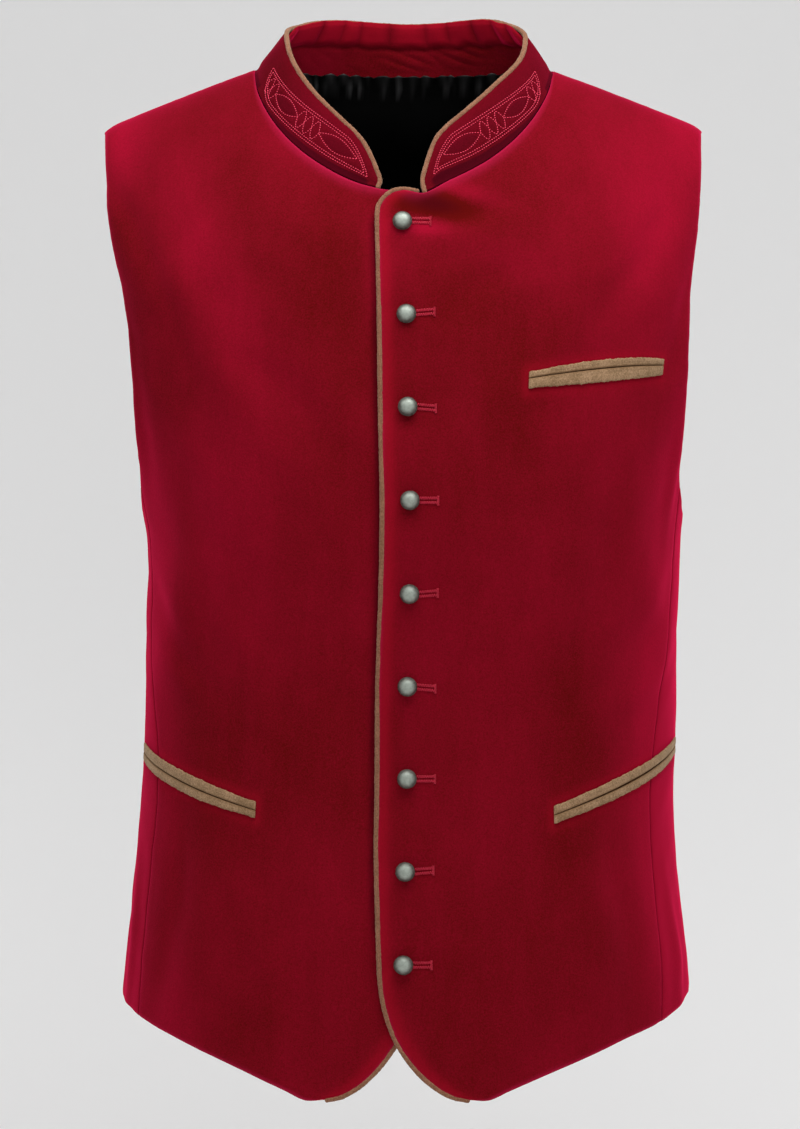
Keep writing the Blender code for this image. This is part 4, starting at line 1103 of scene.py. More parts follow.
def makeBand():
    # inner band: smooth below, then a crease, then a puckered strip that rolls over the cord
    v = band
    foot, way, rise, along = collarFrame()
    keep = np.flatnonzero(along >= v["start"])
    fine = np.linspace(keep[0], keep[-1], v["columns"])
    index = np.arange(len(foot))
    def filled(values):
        return np.stack([smoothCurve(fine, index, values[:, k]) for k in range(3)], -1)[:, None]
    def noiseAlong(waves, seed, start=0):
        return softNoise(position * waves, 0 * position + start, seed)
    share = np.linspace(0, 1, v["rows"])[None, :]
    over = easeStep(np.interp(fine, index, along), v["rollFrom"], v["rollTo"])[:, None]
    height = np.interp(fine, index, collarCloth(rise))[:, None] - (1 - over) * v["lower"]
    position = (fine - fine[0]) / (fine[-1] - fine[0])
    wave = v["edgeWave"][0] * noiseAlong(v["edgeWave"][1], 55)[:, None] * over
    tilt = np.interp(fine, index, np.arccos(np.clip(way[:, 2], -1, 1)))[:, None]
    cover = (trim["cordRadius"] + v["rollInset"] * np.sin(tilt)) / np.cos(tilt) + v["rollOver"]
    reach = v["foot"] + (height - v["foot"]) * share + (cover * over + wave) * share ** 3
    grid = filled(foot) + reach[..., None] * filled(way)
    normal = awayFromNeck(grid)
    inset = (collar["wall"] + v["wall"]) / 2 + v["gap"]
    phase = position * v["puckers"] + v["puckerSway"][0] * noiseAlong(v["puckerSway"][1], 51)
    pleat = np.abs(np.sin(math.pi * phase)) ** v["puckerPower"]
    mean, change, waves = v["puckerSize"]
    size = mean + change * noiseAlong(waves, 52, 3)
    before, after = v["upper"]
    upper = easeStep(share, v["crease"] - before, v["crease"] + after)
    flat, flatFrom = v["puckerFlat"]
    pucker = v["pucker"] * (pleat * size)[:, None] * upper * (1 - flat * easeStep(share, flatFrom, 1))
    offLine = share - v["crease"] - v["creaseSway"][0] * noiseAlong(v["creaseSway"][1], 53)[:, None]
    strength, above, spread = v["swell"]
    crease = v["creaseDepth"] * (bell(offLine, v["creaseSpread"]) - strength * bell(offLine - above, spread))
    depth, waves, slant, wavesUp = v["slack"]
    slack = depth * np.abs(softNoise(position[:, None] * waves + share * slant, share * wavesUp, 54))
    slack = slack * (1 - upper) * easeStep(share, *v["slackFrom"])
    roll = v["rollGap"] * easeStep(share, *v["rollUp"]) * over
    tuck = v["tuck"] * easeStep(share, v["tuckFrom"], 1.0) * over
    grid = grid - (inset + pucker + slack + roll - crease - tuck)[..., None] * normal
    most, fall = v["valleyUp"]
    strength, spread = v["creaseShade"]
    valley = ((1 - pleat) ** v["valleyPower"] * size)[:, None] * upper * (most - fall * share)
    valley = valley + strength * bell(offLine, spread)
    def marks(middle, distances):
        # painted shade in the valleys and the crease, painted highlight on the ridges of the upper strip
        return {"shade": v["shade"] * distances[4], "pressedAndHighlight": v["pressedAndHighlight"] * distances[5]}
    return clothShell("collarBand", grid, normal, v["wall"], None, marks, (valley, upper * (1 - valley)))


def closedRings(index, firstTip, lastTip):
    # faces of rings of points, closed round, with a fan of triangles to a tip at both ends
    wrapped = np.concatenate([index, index[:, :1]], 1)
    first = np.stack([np.full(index.shape[1], firstTip), wrapped[0, 1:], wrapped[0, :-1]], -1)
    last = np.stack([np.full(index.shape[1], lastTip), wrapped[-1, :-1], wrapped[-1, 1:]], -1)
    return [quadsOf(wrapped)[:, ::-1], first, last]


def makeCord(name, path, seed):
    # a round profile carried along a path without turning; its radius has two ribs that wind
    # along it, lumps and fuzz, and its ends are rounded
    v, radius, sides = trim, trim["cordRadius"], trim["cordSides"]
    tangent = unit(np.gradient(path, axis=0))
    side = np.empty_like(path)
    side[0] = unit(np.cross(tangent[0], v["cordStart"]))
    for k in range(1, len(path)):
        side[k] = side[k - 1] - tangent[k] * side[k - 1].dot(tangent[k])
        side[k] /= np.linalg.norm(side[k])
    up = np.cross(tangent, side)
    length = runAlong(path)
    turn = np.linspace(0, 2 * math.pi, sides, endpoint=False)
    ribs = np.cos(2 * turn[None] + 2 * math.pi * length[:, None] / v["twistPitch"])
    lump = softNoise(length[:, None] / v["lumpLength"] + np.cos(turn) * v["lumpRound"],
                     np.sin(turn)[None] + 0 * length[:, None], seed)
    size = np.full((len(path), sides), radius) + v["twistDepth"] * ribs + v["lumps"] * lump
    size = size + v["fuzz"] * np.random.default_rng(seed).uniform(-1, 1, size.shape)
    around = np.cos(turn)[None, :, None] * side[:, None] + np.sin(turn)[None, :, None] * up[:, None]
    rings = path[:, None] + size[..., None] * around
    caps = {}
    for end, sign in ((0, -1), (-1, 1)):
        out = sign * radius * tangent[end]
        caps[end] = [path[end] + share * size[end][:, None] * around[end] + way * out
                     for share, way in (*v["capRings"], (0, v["capTip"]))]
    rows = np.stack([*caps[0][1::-1], *rings, *caps[-1][:2]])
    points = np.concatenate([rows.reshape(-1, 3), caps[0][2][:1], caps[-1][2][:1]])
    index = np.arange(len(rows) * sides).reshape(len(rows), sides)
    rowLength = np.concatenate([[0, 0], length, [length[-1]] * 2])
    uv = np.stack([np.repeat(rowLength, sides), np.tile(turn * radius, len(rows))], -1)
    uv = np.concatenate([uv, [[0, 0], [length[-1], 0]]])
    return meshPiece(name, points, closedRings(index, len(points) - 2, len(points) - 1), uv)


def stepPath(nodes):
    # smooth curve through the nodes, with even steps of about the cord's step
    path = refine(nodes)
    return evenPath(path, int(runAlong(path)[-1] / trim["cordStep"]) + 1)


def makeFrontCord(side, name):
    points = frontCloth(side, closingEdge(side))
    neck = frontCloth(side, neckLine(side, cut["neckColumns"])[:1])
    run = points[-1] + (neck - points[-1]) * trim["cordRun"][side]
    return makeCord(name, stepPath(np.concatenate([points, run])), 62 + side)


def makeCollarCord():
    foot, way, rise = collarFrame()[:3]
    top = foot + rise[:, None] * way
    ends = foot + collar["foot"] * way
    return makeCord("collarCord", stepPath(np.concatenate([ends[:1], top, ends[-1:]])), 66)


# angle and height of the inner and outer end; bow of the slit; height of the upper and lower lip
# in the middle; how far the slit opens, and a power that moves the widest place from the middle;
# the lips' height at both ends, as a share
pockets = {
    "breastPocket": {"node": "breast_pocket", "angle": (20.4, 55.2), "height": (-.2030, -.1935),
                     "bow": .0024, "lips": (.0056, .0088), "gape": .0002, "gapeLean": 1, "ends": (.72, .70)},
    "hipPocketLeft": {"node": "hip_pocket_left", "angle": (30.4, 82), "height": (-.4815, -.4380),
                      "bow": .0010, "lips": (.0068, .0064), "gape": .0009, "gapeLean": 1, "ends": (.84, .78)},
    "hipPocketRight": {"node": "hip_pocket_right", "angle": (-29.8, -79), "height": (-.4785, -.4425),
                       "bow": 0, "lips": (.0070, .0062), "gape": .0003, "gapeLean": 0.8, "ends": (.76, .84)},
}
welt = {
    "wall": 0.0013, "slit": 0.0004, "columns": 170, "rows": 13,
    "puff": 0.00040, "puffFrom": 0.003, "gapePower": 1.5,
    "fray": 0.00022, "frayWaves": (110, 23),  # waves along a lip
    "ripple": 0.00010, "rippleLength": 0.012,
    # a pressed fold along each lip: depth, place and spread as shares of the lip, start from the end
    "crease": 0.00022, "creaseAt": {"Upper": 0.40, "Lower": 0.66}, "creaseWidth": 0.07,
    "creaseFrom": (0.004, 0.02), "slitShadeReach": 0.0007,
}


def pocketLine(pocket, share):
    # straight from the inner to the outer end, plus a bow of 4t(1 - t)
    (inner, outer), (innerHeight, outerHeight) = pocket["angle"], pocket["height"]
    degrees = inner + (outer - inner) * share
    height = innerHeight + (outerHeight - innerHeight) * share
    return degrees, height + pocket["bow"] * 4 * share * (1 - share)


def makeWelt(name, lip):
    # a folded lip: a bowed strip, puffed along its middle, lower towards both ends
    pocket = pockets[name]
    share = np.linspace(0, 1, welt["columns"])
    degrees, slit = pocketLine(pocket, share)
    gape = pocket["gape"] * np.sin(math.pi * share ** pocket["gapeLean"]) ** welt["gapePower"]
    toEnd = np.minimum(share, 1 - share)
    taper = np.where(share < 0.5, *pocket["ends"])
    taper = taper + (1 - taper) * (1 - (1 - np.minimum(2 * toEnd, 1)) ** 2)
    close, wide = welt["frayWaves"]
    fray = welt["fray"] * (softNoise(share * close, 0 * share, 72) + softNoise(share * wide, 0 * share, 73))
    above, below = pocket["lips"]
    if lip == "Upper":
        low, high = welt["slit"] / 2 + gape / 2, above * taper + fray
    else:
        low, high = -below * taper - fray, -welt["slit"] / 2 - gape / 2
    up = np.linspace(0, 1, welt["rows"])[None]
    height = slit[:, None] + low[:, None] + (high - low)[:, None] * up
    places = placeAtAngle(degrees[:, None] + 0 * height, height)
    grid = surfaceAt(places)
    normal = outwardNormal(places)
    lift = (cloth["wall"] + welt["wall"]) / 2 + cloth["trimLift"]
    grid = creased(grid, places) + lift * normal
    def shape(middle, distances):
        across = distances[2] / np.maximum(distances[2] + distances[3], 1e-6)
        ends = np.minimum(distances[0], distances[1])
        puff = welt["puff"] * (1 - (2 * across - 1) ** 2) * easeStep(ends, 0, welt["puffFrom"])
        x, z = (middle[..., axis] / welt["rippleLength"] for axis in (0, 2))
        fold = welt["crease"] * bell(across - welt["creaseAt"][lip], welt["creaseWidth"])
        return puff + welt["ripple"] * softNoise(x, z, 71) - fold * easeStep(ends, *welt["creaseFrom"])
    def marks(middle, distances):
        # painted shade along the lip's edge at the slit
        return {"slit": bell(distances[2 if lip == "Upper" else 3], welt["slitShadeReach"])}
    return clothShell(name + lip, grid, normal, welt["wall"], shape, marks)


mouth = {
    "columns": 90, "inset": 0.004,  # as a share of the slit
    "across": [-0.0011, -0.0005, 0, 0.0005, 0.0011], "crown": [0, 0.00025, 0.00030, 0.00025, 0],
    "top": 0.00012, "under": 0.00006,  # above the velvet
}


def makeMouthShades():
    # a dark strip of painted shade in the mouth of each pocket, seen between its lips: a thin strip with a
    # low crown
    parts = []
    for pocket in pockets.values():
        share = np.linspace(mouth["inset"], 1 - mouth["inset"], mouth["columns"])
        degrees, slit = pocketLine(pocket, share)
        height = slit[:, None] + np.array(mouth["across"])[None]
        places = placeAtAngle(degrees[:, None] + 0 * height, height)
        normal = outwardNormal(places)
        base = creased(surfaceAt(places), places)
        crown = np.array(mouth["crown"])[None, :, None]
        parts.append(np.stack([base + (cloth["wall"] / 2 + mouth["top"] + crown) * normal,
                               base + (cloth["wall"] / 2 + mouth["under"]) * normal]))
    points, faces, count = [], [], 0
    for top, under in parts:
        columns, rows = top.shape[:2]
        grid = np.stack([*top.swapaxes(0, 1), *under.swapaxes(0, 1)[::-1]], 1)
        index = np.arange(columns * rows * 2).reshape(columns, rows * 2) + count
        wrapped = np.concatenate([index, index[:, :1]], 1)
        quads = quadsOf(wrapped)
        ends = [index[0][None], index[-1][::-1][None]]
        sign = np.cross(top[1, 0] - top[0, 0], top[0, 1] - top[0, 0]).dot(top[0, 2] - under[0, 2])
        faces.append(quads if sign > 0 else quads[:, ::-1])
        faces += ends if sign > 0 else [end[:, ::-1] for end in ends]
        points.append(grid.reshape(-1, 3))
        count += columns * rows * 2
    return meshPiece("pocketMouthShades", np.concatenate(points), faces)


# a thread's rings: radius and place along it, as shares of its half sizes
stitch = {"sides": 6, "rings": [(0.62, -0.86), (0.95, -0.45), (1.0, 0.0), (0.95, 0.45), (0.62, 0.86)]}


def stitches(centres, alongs, ups, length, width, height):
    # spindle-shaped threads: rings of a few points, wide in the middle, closed at both tips
    alongs, ups = unit(alongs), unit(ups)
    acrosses = unit(np.cross(ups, alongs))
    ups = np.cross(alongs, acrosses)
    sides, rings = stitch["sides"], len(stitch["rings"])
    turn = np.linspace(0, 2 * math.pi, sides, endpoint=False)
    acrossRing, upRing = width / 2 * np.cos(turn), height / 2 * np.sin(turn)
    local = [[(-length / 2, 0.0, 0.0)]]
    for size, at in stitch["rings"]:
        local.append(np.stack([np.full(sides, at * length / 2), size * acrossRing, size * upRing], -1))
    local = np.concatenate([*local, [(length / 2, 0.0, 0.0)]])
    points = (centres[:, None] + local[None, :, :1] * alongs[:, None]
              + local[None, :, 1:2] * acrosses[:, None] + local[None, :, 2:] * ups[:, None])
    index = 1 + np.arange(rings * sides).reshape(rings, sides)
    quads, first, last = closedRings(index, 0, 1 + rings * sides)
    offset = (np.arange(len(centres)) * len(local))[:, None, None]
    tris = np.concatenate([first, last])
    return points.reshape(-1, 3), (quads[None] + offset).reshape(-1, 4), (tris[None] + offset).reshape(-1, 3)


def joinStitches(name, groups):
    points, quads, tris, count = [], [], [], 0
    for p, q, t in groups:
        points.append(p)
        quads.append(q + count)
        tris.append(t + count)
        count += len(p)
    return meshPiece(name, np.concatenate(points), [np.concatenate(quads), np.concatenate(tris)])


embroidery = {"pitch": 0.00178, "size": (0.00118, 0.00072, 0.00050), "lift": 0.00002,
              "sway": 0.14, "swayLength": 0.0023}


def collarSpot(side, run, up):
    # point and normal of the collar's outside, at a run from its front end and a share up
    grid, length = collarSurface["points"], collarSurface["run"]
    at = run if side < 0 else length[-1] - run
    station = np.interp(at, length, np.arange(len(length)))
    row = np.clip(up, 0, 1) * (grid.shape[1] - 1)
    i = np.clip(station.astype(int), 0, len(grid) - 2)
    j = np.clip(row.astype(int), 0, grid.shape[1] - 2)
    s, r = (station - i)[:, None], (row - j)[:, None]
    def mixed(values):
        return ((1 - s) * (1 - r) * values[i, j] + s * (1 - r) * values[i + 1, j]
                + (1 - s) * r * values[i, j + 1] + s * r * values[i + 1, j + 1])
    normal = unit(mixed(collarSurface["normals"]))
    return mixed(grid) + (collar["wall"] / 2) * normal, normal


def makeEmbroidery():
    # stitches at an even pitch along every line of the motif, on both ends of the collar
    e = embroidery
    groups = []
    for side in (-1, 1):
        for number, (run, level) in enumerate(motifLines()):
            points, normals = collarSpot(side, run, motifUp(run, level, side > 0))
            length = runAlong(points)
            count = max(int(length[-1] / e["pitch"]), 2)
            at = (np.arange(count) + 0.5) * length[-1] / count
            centre, up = readAlong(at, length, points), unit(readAlong(at, length, normals))
            heading = unit(readAlong(at, length, np.gradient(points, axis=0)))
            sway = e["sway"] * softNoise(at / e["swayLength"], at * 0, 81 + number)
            heading = heading + np.cross(up, heading) * sway[:, None]
            groups.append(stitches(centre + e["lift"] * up, heading, up, *e["size"]))
    return joinStitches("collarEmbroidery", groups)


buttonhole = {
    "start": 0.0064, "end": 0.0178, "gap": 0.0028, "pitch": 0.00070,
    "thread": (0.00205, 0.00052, 0.00050), "threadLift": 0.00012,
    "bar": 0.0060, "barThread": (0.00168, 0.00052, 0.00065), "barLift": 0.00020,
    "wander": (0.00006, 9000), "lean": (0.25, 5000),  # size and pace along the row
    "tilt": (0.10, 2.1), "lastTilt": 0.10,  # size and pace from hole to hole
}


def makeButtonholes():
    # two rows of short threads beside a slit, and a bar of threads across its end
    b = buttonhole
    groups = []
    run = np.arange(b["start"], b["end"], b["pitch"])
    rise = np.arange(-b["bar"] / 2, b["bar"] / 2, b["pitch"])
    for number in range(closing["buttons"]):
        centre = buttonPlace(number)
        normal = outwardNormal(centre)[0]
        foot = clothPoint(centre)
        tilt = b["tilt"][0] * math.sin(number * b["tilt"][1])
        if number == closing["buttons"] - 1:
            tilt += b["lastTilt"]
        across = unit(np.cross((0.0, 0.0, 1.0), normal))
        upward = np.cross(normal, across)
        def onCloth(x, z):
            # on the cloth, x to the wearer's left of the button and z above the slit
            flat = foot + x[:, None] * across + (z + tilt * (x - b["start"]))[:, None] * upward
            return clothPoint(placeSeenAt(flat[:, 0], flat[:, 2]))
        for row in (-1, 1):
            spots = onCloth(run, row * b["gap"] / 2 + b["wander"][0] * np.sin(run * b["wander"][1] + number))
            lean = upward[None] + b["lean"][0] * np.sin(run * b["lean"][1] + row)[:, None] * across[None]
            groups.append(stitches(spots + b["threadLift"] * normal, lean, normal[None] + 0 * spots,
                                   *b["thread"]))
        spots = onCloth(b["end"] + 0 * rise, rise)
        groups.append(stitches(spots + b["barLift"] * normal, across[None] + 0 * spots,
                               normal[None] + 0 * spots, *b["barThread"]))
    return joinStitches("buttonholes", groups)


def clothPoint(places):
    # outside of the upper front where something is sewn on
    grid = frontCloth(1, places)
    shift = smallCreases(places[..., 0], grid[..., 2])
    normal = outwardNormal(places)
    return grid + (shift + cloth["wall"] / 2)[..., None] * normal


button = {
    "radius": 0.0062, "sides": 40, "lift": 0.0004,
    # radius and height of the turned profile, as shares of the radius
    "profile": [(0.30, -0.02), (0.66, 0.00), (0.86, 0.05), (0.965, 0.11), (1.00, 0.18), (1.005, 0.24),
                (0.985, 0.29), (0.955, 0.325), (0.935, 0.36), (0.925, 0.41), (0.90, 0.50), (0.85, 0.60),
                (0.77, 0.70), (0.66, 0.79), (0.52, 0.865), (0.37, 0.92), (0.20, 0.95), (0.07, 0.96)],
    "crown": 0.962, "dents": 0.010, "dentRound": 0.8, "dentUp": 1.5,
}


def makeButton(number):
    # a profile turned about the normal of the cloth, with a soft hammered unevenness
    places = buttonPlace(number)
    normal = outwardNormal(places)[0]
    foot = frontCloth(1, places)[0] + (cloth["wall"] / 2 + button["lift"]) * normal
    side = unit(np.cross((0.0, 0.0, 1.0), normal))
    up = np.cross(normal, side)
    turn = np.linspace(0, 2 * math.pi, button["sides"], endpoint=False)
    profile = np.array(button["profile"])
    dents = softNoise(np.cos(turn)[None] * button["dentRound"] + number,
                      np.sin(turn)[None] * button["dentRound"] + profile[:, 1:] * button["dentUp"], 91)
    size = profile[:, :1] * (1 + button["dents"] * dents)
    around = np.cos(turn)[None, :, None] * side + np.sin(turn)[None, :, None] * up
    rings = foot + button["radius"] * (size[..., None] * around + profile[:, 1][:, None, None] * normal)
    crown = foot + button["radius"] * button["crown"] * normal
    under = foot + button["radius"] * profile[0, 1] * normal
    points = np.concatenate([rings.reshape(-1, 3), [crown, under]])
    index = np.arange(len(profile) * button["sides"]).reshape(len(profile), -1)
    wrapped = np.concatenate([index, index[:, :1]], 1)
    quads = quadsOf(wrapped.T)
    top = np.stack([wrapped[-1, :-1], wrapped[-1, 1:], np.full(button["sides"], len(points) - 2)], -1)
    bottom = np.stack([wrapped[0, 1:], wrapped[0, :-1], np.full(button["sides"], len(points) - 1)], -1)
    # the rim's tarnish and painted shade grow with the share of the radius
    tarnishAndShade = np.concatenate([np.repeat(np.clip(profile[:, 0], 0, 1), button["sides"]), [0, 1]])
    return meshPiece("button" + str(number + 1), points, [quads, top, bottom], None, None,
                     {"tarnishAndShade": tarnishAndShade})


print("forms ready")

# build every piece
frontLeft = makeFront(1, "frontLeft")
frontRight = makeFront(-1, "frontRight")
sideLeft, sideRight = makeSide(1, "sideLeft"), makeSide(-1, "sideRight")
backLeft, backRight = makeBack(1, "backLeft"), makeBack(-1, "backRight")
backLining = makeLining()
print("panels and lining made")
standCollar = makeCollar()
collarBand = makeBand()
collarCord = makeCollarCord()
cordLeft, cordRight = makeFrontCord(1, "frontCordLeft"), makeFrontCord(-1, "frontCordRight")
welts = {(name, lip): makeWelt(name, lip) for name in pockets for lip in ("Upper", "Lower")}
pocketMouthShades = makeMouthShades()
buttons = [makeButton(number) for number in range(closing["buttons"])]
collarEmbroidery = makeEmbroidery()
buttonholes = makeButtonholes()
print("collar, trim, pockets, buttons and stitching made")


def nodeGroup(name, inputs, outputs):
    # a shader group with an input for each value, and these outputs
    group = bpy.data.node_groups.new(name, "ShaderNodeTree")
    for label, value in inputs.items():
        kind = "NodeSocketColor" if isinstance(value, tuple) else "NodeSocketFloat"
        group.interface.new_socket(name=label, in_out="INPUT", socket_type=kind).default_value = value
    for label, kind in outputs.items():
        group.interface.new_socket(name=label, in_out="OUTPUT", socket_type=kind)
    return group, group.nodes.new("NodeGroupInput"), group.nodes.new("NodeGroupOutput")


def addNode(tree, kind, values=None, **settings):
    # a node with these settings, and these values on its sockets
    node = tree.nodes.new(kind)
    for key, value in settings.items():
        setattr(node, key, value)
    for key, value in (values or {}).items():
        node.inputs[key].default_value = value
    return node


def mathNode(tree, operation, first, second, clamp=False):
    # a Math node whose two inputs are sockets or numbers
    node = addNode(tree, "ShaderNodeMath", operation=operation, use_clamp=clamp)
    for k, value in enumerate((first, second)):
        if isinstance(value, (int, float)):
            node.inputs[k].default_value = value
        else:
            tree.links.new(value, node.inputs[k])
    return node.outputs[0]


def mixColours(tree, factor, first, second):
    # a Mix node on colours, each input a socket or plain values
    node = addNode(tree, "ShaderNodeMix", data_type="RGBA")
    for key, value in (("Factor_Float", factor), ("A_Color", first), ("B_Color", second)):
        socket = next(s for s in node.inputs if s.identifier == key)
        if isinstance(value, (int, float)):
            socket.default_value = value
        elif isinstance(value, tuple):
            socket.default_value = (*value, 1.0)
        else:
            tree.links.new(value, socket)
    return next(s for s in node.outputs if s.identifier == "Result_Color")


def markOf(tree, name):
    # a value that the cloth carries at each of its points
    return addNode(tree, "ShaderNodeAttribute", attribute_name=name).outputs["Fac"]


def blendMark(tree, mark, share, colour, target):
    # mixes towards the target where the mark stands on the cloth
    factor = mathNode(tree, "MULTIPLY", markOf(tree, mark), share, clamp=True)
    return mixColours(tree, factor, colour, target)


def stretched(tree, place, scale):
    mapping = addNode(tree, "ShaderNodeMapping", {"Scale": scale})
    tree.links.new(place, mapping.inputs["Vector"])
    return mapping.outputs[0]


def noiseOn(tree, place, values, scale=None):
    noise = addNode(tree, "ShaderNodeTexNoise", values)
    tree.links.new(place, noise.inputs["Vector"])
    if scale is not None:
        tree.links.new(scale, noise.inputs["Scale"])
    return noise.outputs["Fac"]


def smoothRange(tree, value, start, end):
    # 0 before start, 1 after end, smooth between
    node = addNode(tree, "ShaderNodeMapRange", {"From Min": start, "From Max": end},
                   interpolation_type="SMOOTHSTEP")
    tree.links.new(value, node.inputs["Value"])
    return node.outputs[0]


def overLevel(tree, value, level, share, clamp=False):
    # share times what the value is over the level
    return mathNode(tree, "MULTIPLY", mathNode(tree, "SUBTRACT", value, level), share, clamp)


pileGrain = {
    "patch": {"Detail": 3.0, "Roughness": 0.5}, "patchStretch": (1.0, 1.0, 0.55),
    "patchFrom": 0.30, "patchTo": 0.72, "patchShare": 0.50,
    "streak": {"Scale": 120.0, "Detail": 4.0, "Roughness": 0.6}, "streakStretch": (1.0, 1.0, 0.22),
    "streakShare": 0.22, "streakHeight": 0.6,
    "fibre": {"Detail": 2.0, "Roughness": 0.7},
}


def makePileGroup():
    # soft nap patches, brushed streaks and fine fibres: a colour between deep and lit, and a
    # height for bump
    grain = pileGrain
    group, given, result = nodeGroup("pileColour", {
        "Deep": (0.1, 0.0, 0.0, 1), "Lit": (0.2, 0.0, 0.0, 1), "Patch Scale": 9.0, "Fibre Scale": 900.0,
        "Fibre Contrast": 0.9, "Mark": 0.0}, {"Color": "NodeSocketColor", "Height": "NodeSocketFloat"})
    place = addNode(group, "ShaderNodeTexCoord").outputs["Object"]
    patches = noiseOn(group, stretched(group, place, grain["patchStretch"]), grain["patch"],
                      given.outputs["Patch Scale"])
    streaks = noiseOn(group, stretched(group, place, grain["streakStretch"]), grain["streak"])
    fibres = noiseOn(group, place, grain["fibre"], given.outputs["Fibre Scale"])
    soft = smoothRange(group, patches, grain["patchFrom"], grain["patchTo"])
    level = mathNode(group, "ADD", mathNode(group, "MULTIPLY", soft, grain["patchShare"]),
                     overLevel(group, streaks, 0.5, grain["streakShare"]))
    level = mathNode(group, "ADD", level, overLevel(group, fibres, 0.5, given.outputs["Fibre Contrast"]))
    # plus the given mark; for velvet it carries the placed nap with painted light and shade
    level = mathNode(group, "ADD", level, given.outputs["Mark"], clamp=True)
    colour = mixColours(group, level, given.outputs["Deep"], given.outputs["Lit"])
    group.links.new(colour, result.inputs["Color"])
    height = mathNode(group, "ADD", fibres, mathNode(group, "MULTIPLY", streaks, grain["streakHeight"]))
    group.links.new(height, result.inputs["Height"])
    return group


pileGroup = makePileGroup()


def startMaterial(name, settings):
    material = bpy.data.materials.new(name)
    material.use_nodes = True
    surface = material.node_tree.nodes["Principled BSDF"]
    for key, value in settings.items():
        surface.inputs[key].default_value = value
    return material, material.node_tree, surface


def useGroup(tree, group, values):
    return addNode(tree, "ShaderNodeGroup", values, node_tree=group)


def finishSurface(tree, surface, colour, height, strength, distance):
    # the colour, and a bump from the height
    tree.links.new(colour, surface.inputs["Base Color"])
    bump = addNode(tree, "ShaderNodeBump", {"Strength": strength, "Distance": distance})
    tree.links.new(height, bump.inputs["Height"])
    tree.links.new(bump.outputs["Normal"], surface.inputs["Normal"])


velvetLook = {
    "deep": (0.096, 0.0024, 0.0018), "lit": (0.290, 0.0034, 0.0190),
    # colours of the painted highlights along the edges and on the laid-over pile, and of the painted shade
    "rimHighlight": (0.46, 0.012, 0.062), "pressedAndHighlight": (0.36, 0.0040, 0.0170), "shade": (0.031, 0.0006, 0.0036),
    "rimHighlightShare": 0.50, "pressedAndHighlightShare": 0.45, "shadeShare": 0.85, "napLightShadeBase": 0.13,
    "shine": {"Roughness": 0.9, "Specular IOR Level": 0.02, "Sheen Roughness": 0.42,
              "Sheen Tint": (0.70, 0.009, 0.078, 1)},
    "grain": {"Patch Scale": 8.0, "Fibre Scale": 950.0}, "bump": (0.35, 0.0004),
}


def makeVelvet(name, marked, deep=1.0, sheen=1.0):
    look = velvetLook
    def dyed(kind):
        return tuple(deep * c for c in look[kind])
    material, tree, surface = startMaterial(name, {**look["shine"], "Sheen Weight": sheen})
    pile = useGroup(tree, pileGroup, {"Deep": (*dyed("deep"), 1), "Lit": (*dyed("lit"), 1), **look["grain"]})
    # the placed nap, with its painted light and shade, lifts the colour towards lit
    tree.links.new(mathNode(tree, "ADD", markOf(tree, "napLightShade"), look["napLightShadeBase"]), pile.inputs["Mark"])
    # painted highlight along the edges, where the pile also opens at the fold
    colour = blendMark(tree, "rimHighlight", look["rimHighlightShare"], pile.outputs["Color"], look["rimHighlight"])
    if marked:
        # pile laid over, with a painted highlight, along the closing, round the pockets, on the collar's top
        # and on the band's upper ridges
        colour = blendMark(tree, "pressedAndHighlight", look["pressedAndHighlightShare"], colour, dyed("pressedAndHighlight"))
    # painted shade in the seams, hollows and valleys, and painted shadow beside the cord
    colour = blendMark(tree, "shade", look["shadeShare"], colour, look["shade"])
    finishSurface(tree, surface, colour, pile.outputs["Height"], *look["bump"])
    return material


satinLook = {
    "deep": (0.0001, 0.0001, 0.0001), "lit": (0.0003, 0.0003, 0.0003), "crestHighlight": (0.230, 0.226, 0.230),
    "threads": {"Scale": 1800.0, "Detail": 2.0, "Roughness": 0.5}, "threadStretch": (1.0, 0.08, 1.0),
    "shine": {"Roughness": 0.36, "Specular IOR Level": 0.05}, "bump": (0.12, 0.0001),
}


def makeSatin():
    # fine threads across the cloth map, with a painted highlight along the crests of its gathers
    look = satinLook
    material, tree, surface = startMaterial("blackSatin", look["shine"])
    place = addNode(tree, "ShaderNodeUVMap", uv_map="cloth").outputs["UV"]
    threads = noiseOn(tree, stretched(tree, place, look["threadStretch"]), look["threads"])
    colour = mixColours(tree, threads, look["deep"], look["lit"])
    colour = mixColours(tree, markOf(tree, "crestHighlight"), colour, look["crestHighlight"])
    finishSurface(tree, surface, colour, threads, *look["bump"])
    return material


suedeLook = {
    "welt": {"Deep": (0.180, 0.105, 0.050, 1), "Lit": (0.340, 0.208, 0.118, 1)},
    "cord": {"Deep": (0.165, 0.066, 0.035, 1), "Lit": (0.275, 0.127, 0.073, 1)},
    # colour and share of the painted shade beside the slit
    "slit": (0.150, 0.070, 0.024), "slitShadeShare": 0.75,
    "shine": {"Roughness": 0.95, "Specular IOR Level": 0.10, "Sheen Weight": 0.25, "Sheen Roughness": 0.6,
              "Sheen Tint": (0.9, 0.75, 0.55, 1)},
    "grain": {"Patch Scale": 150.0, "Fibre Scale": 1000.0, "Fibre Contrast": 3.2, "Mark": 0.22},
    "bump": (0.55, 0.0004),
}


def makeSuede(name, kind, slitShaded):
    look = suedeLook
    material, tree, surface = startMaterial(name, look["shine"])
    pile = useGroup(tree, pileGroup, {**look[kind], **look["grain"]})
    colour = pile.outputs["Color"]
    if slitShaded:
        # painted shade along the slit
        colour = blendMark(tree, "slit", look["slitShadeShare"], colour, look["slit"])
    finishSurface(tree, surface, colour, pile.outputs["Height"], *look["bump"])
    return material


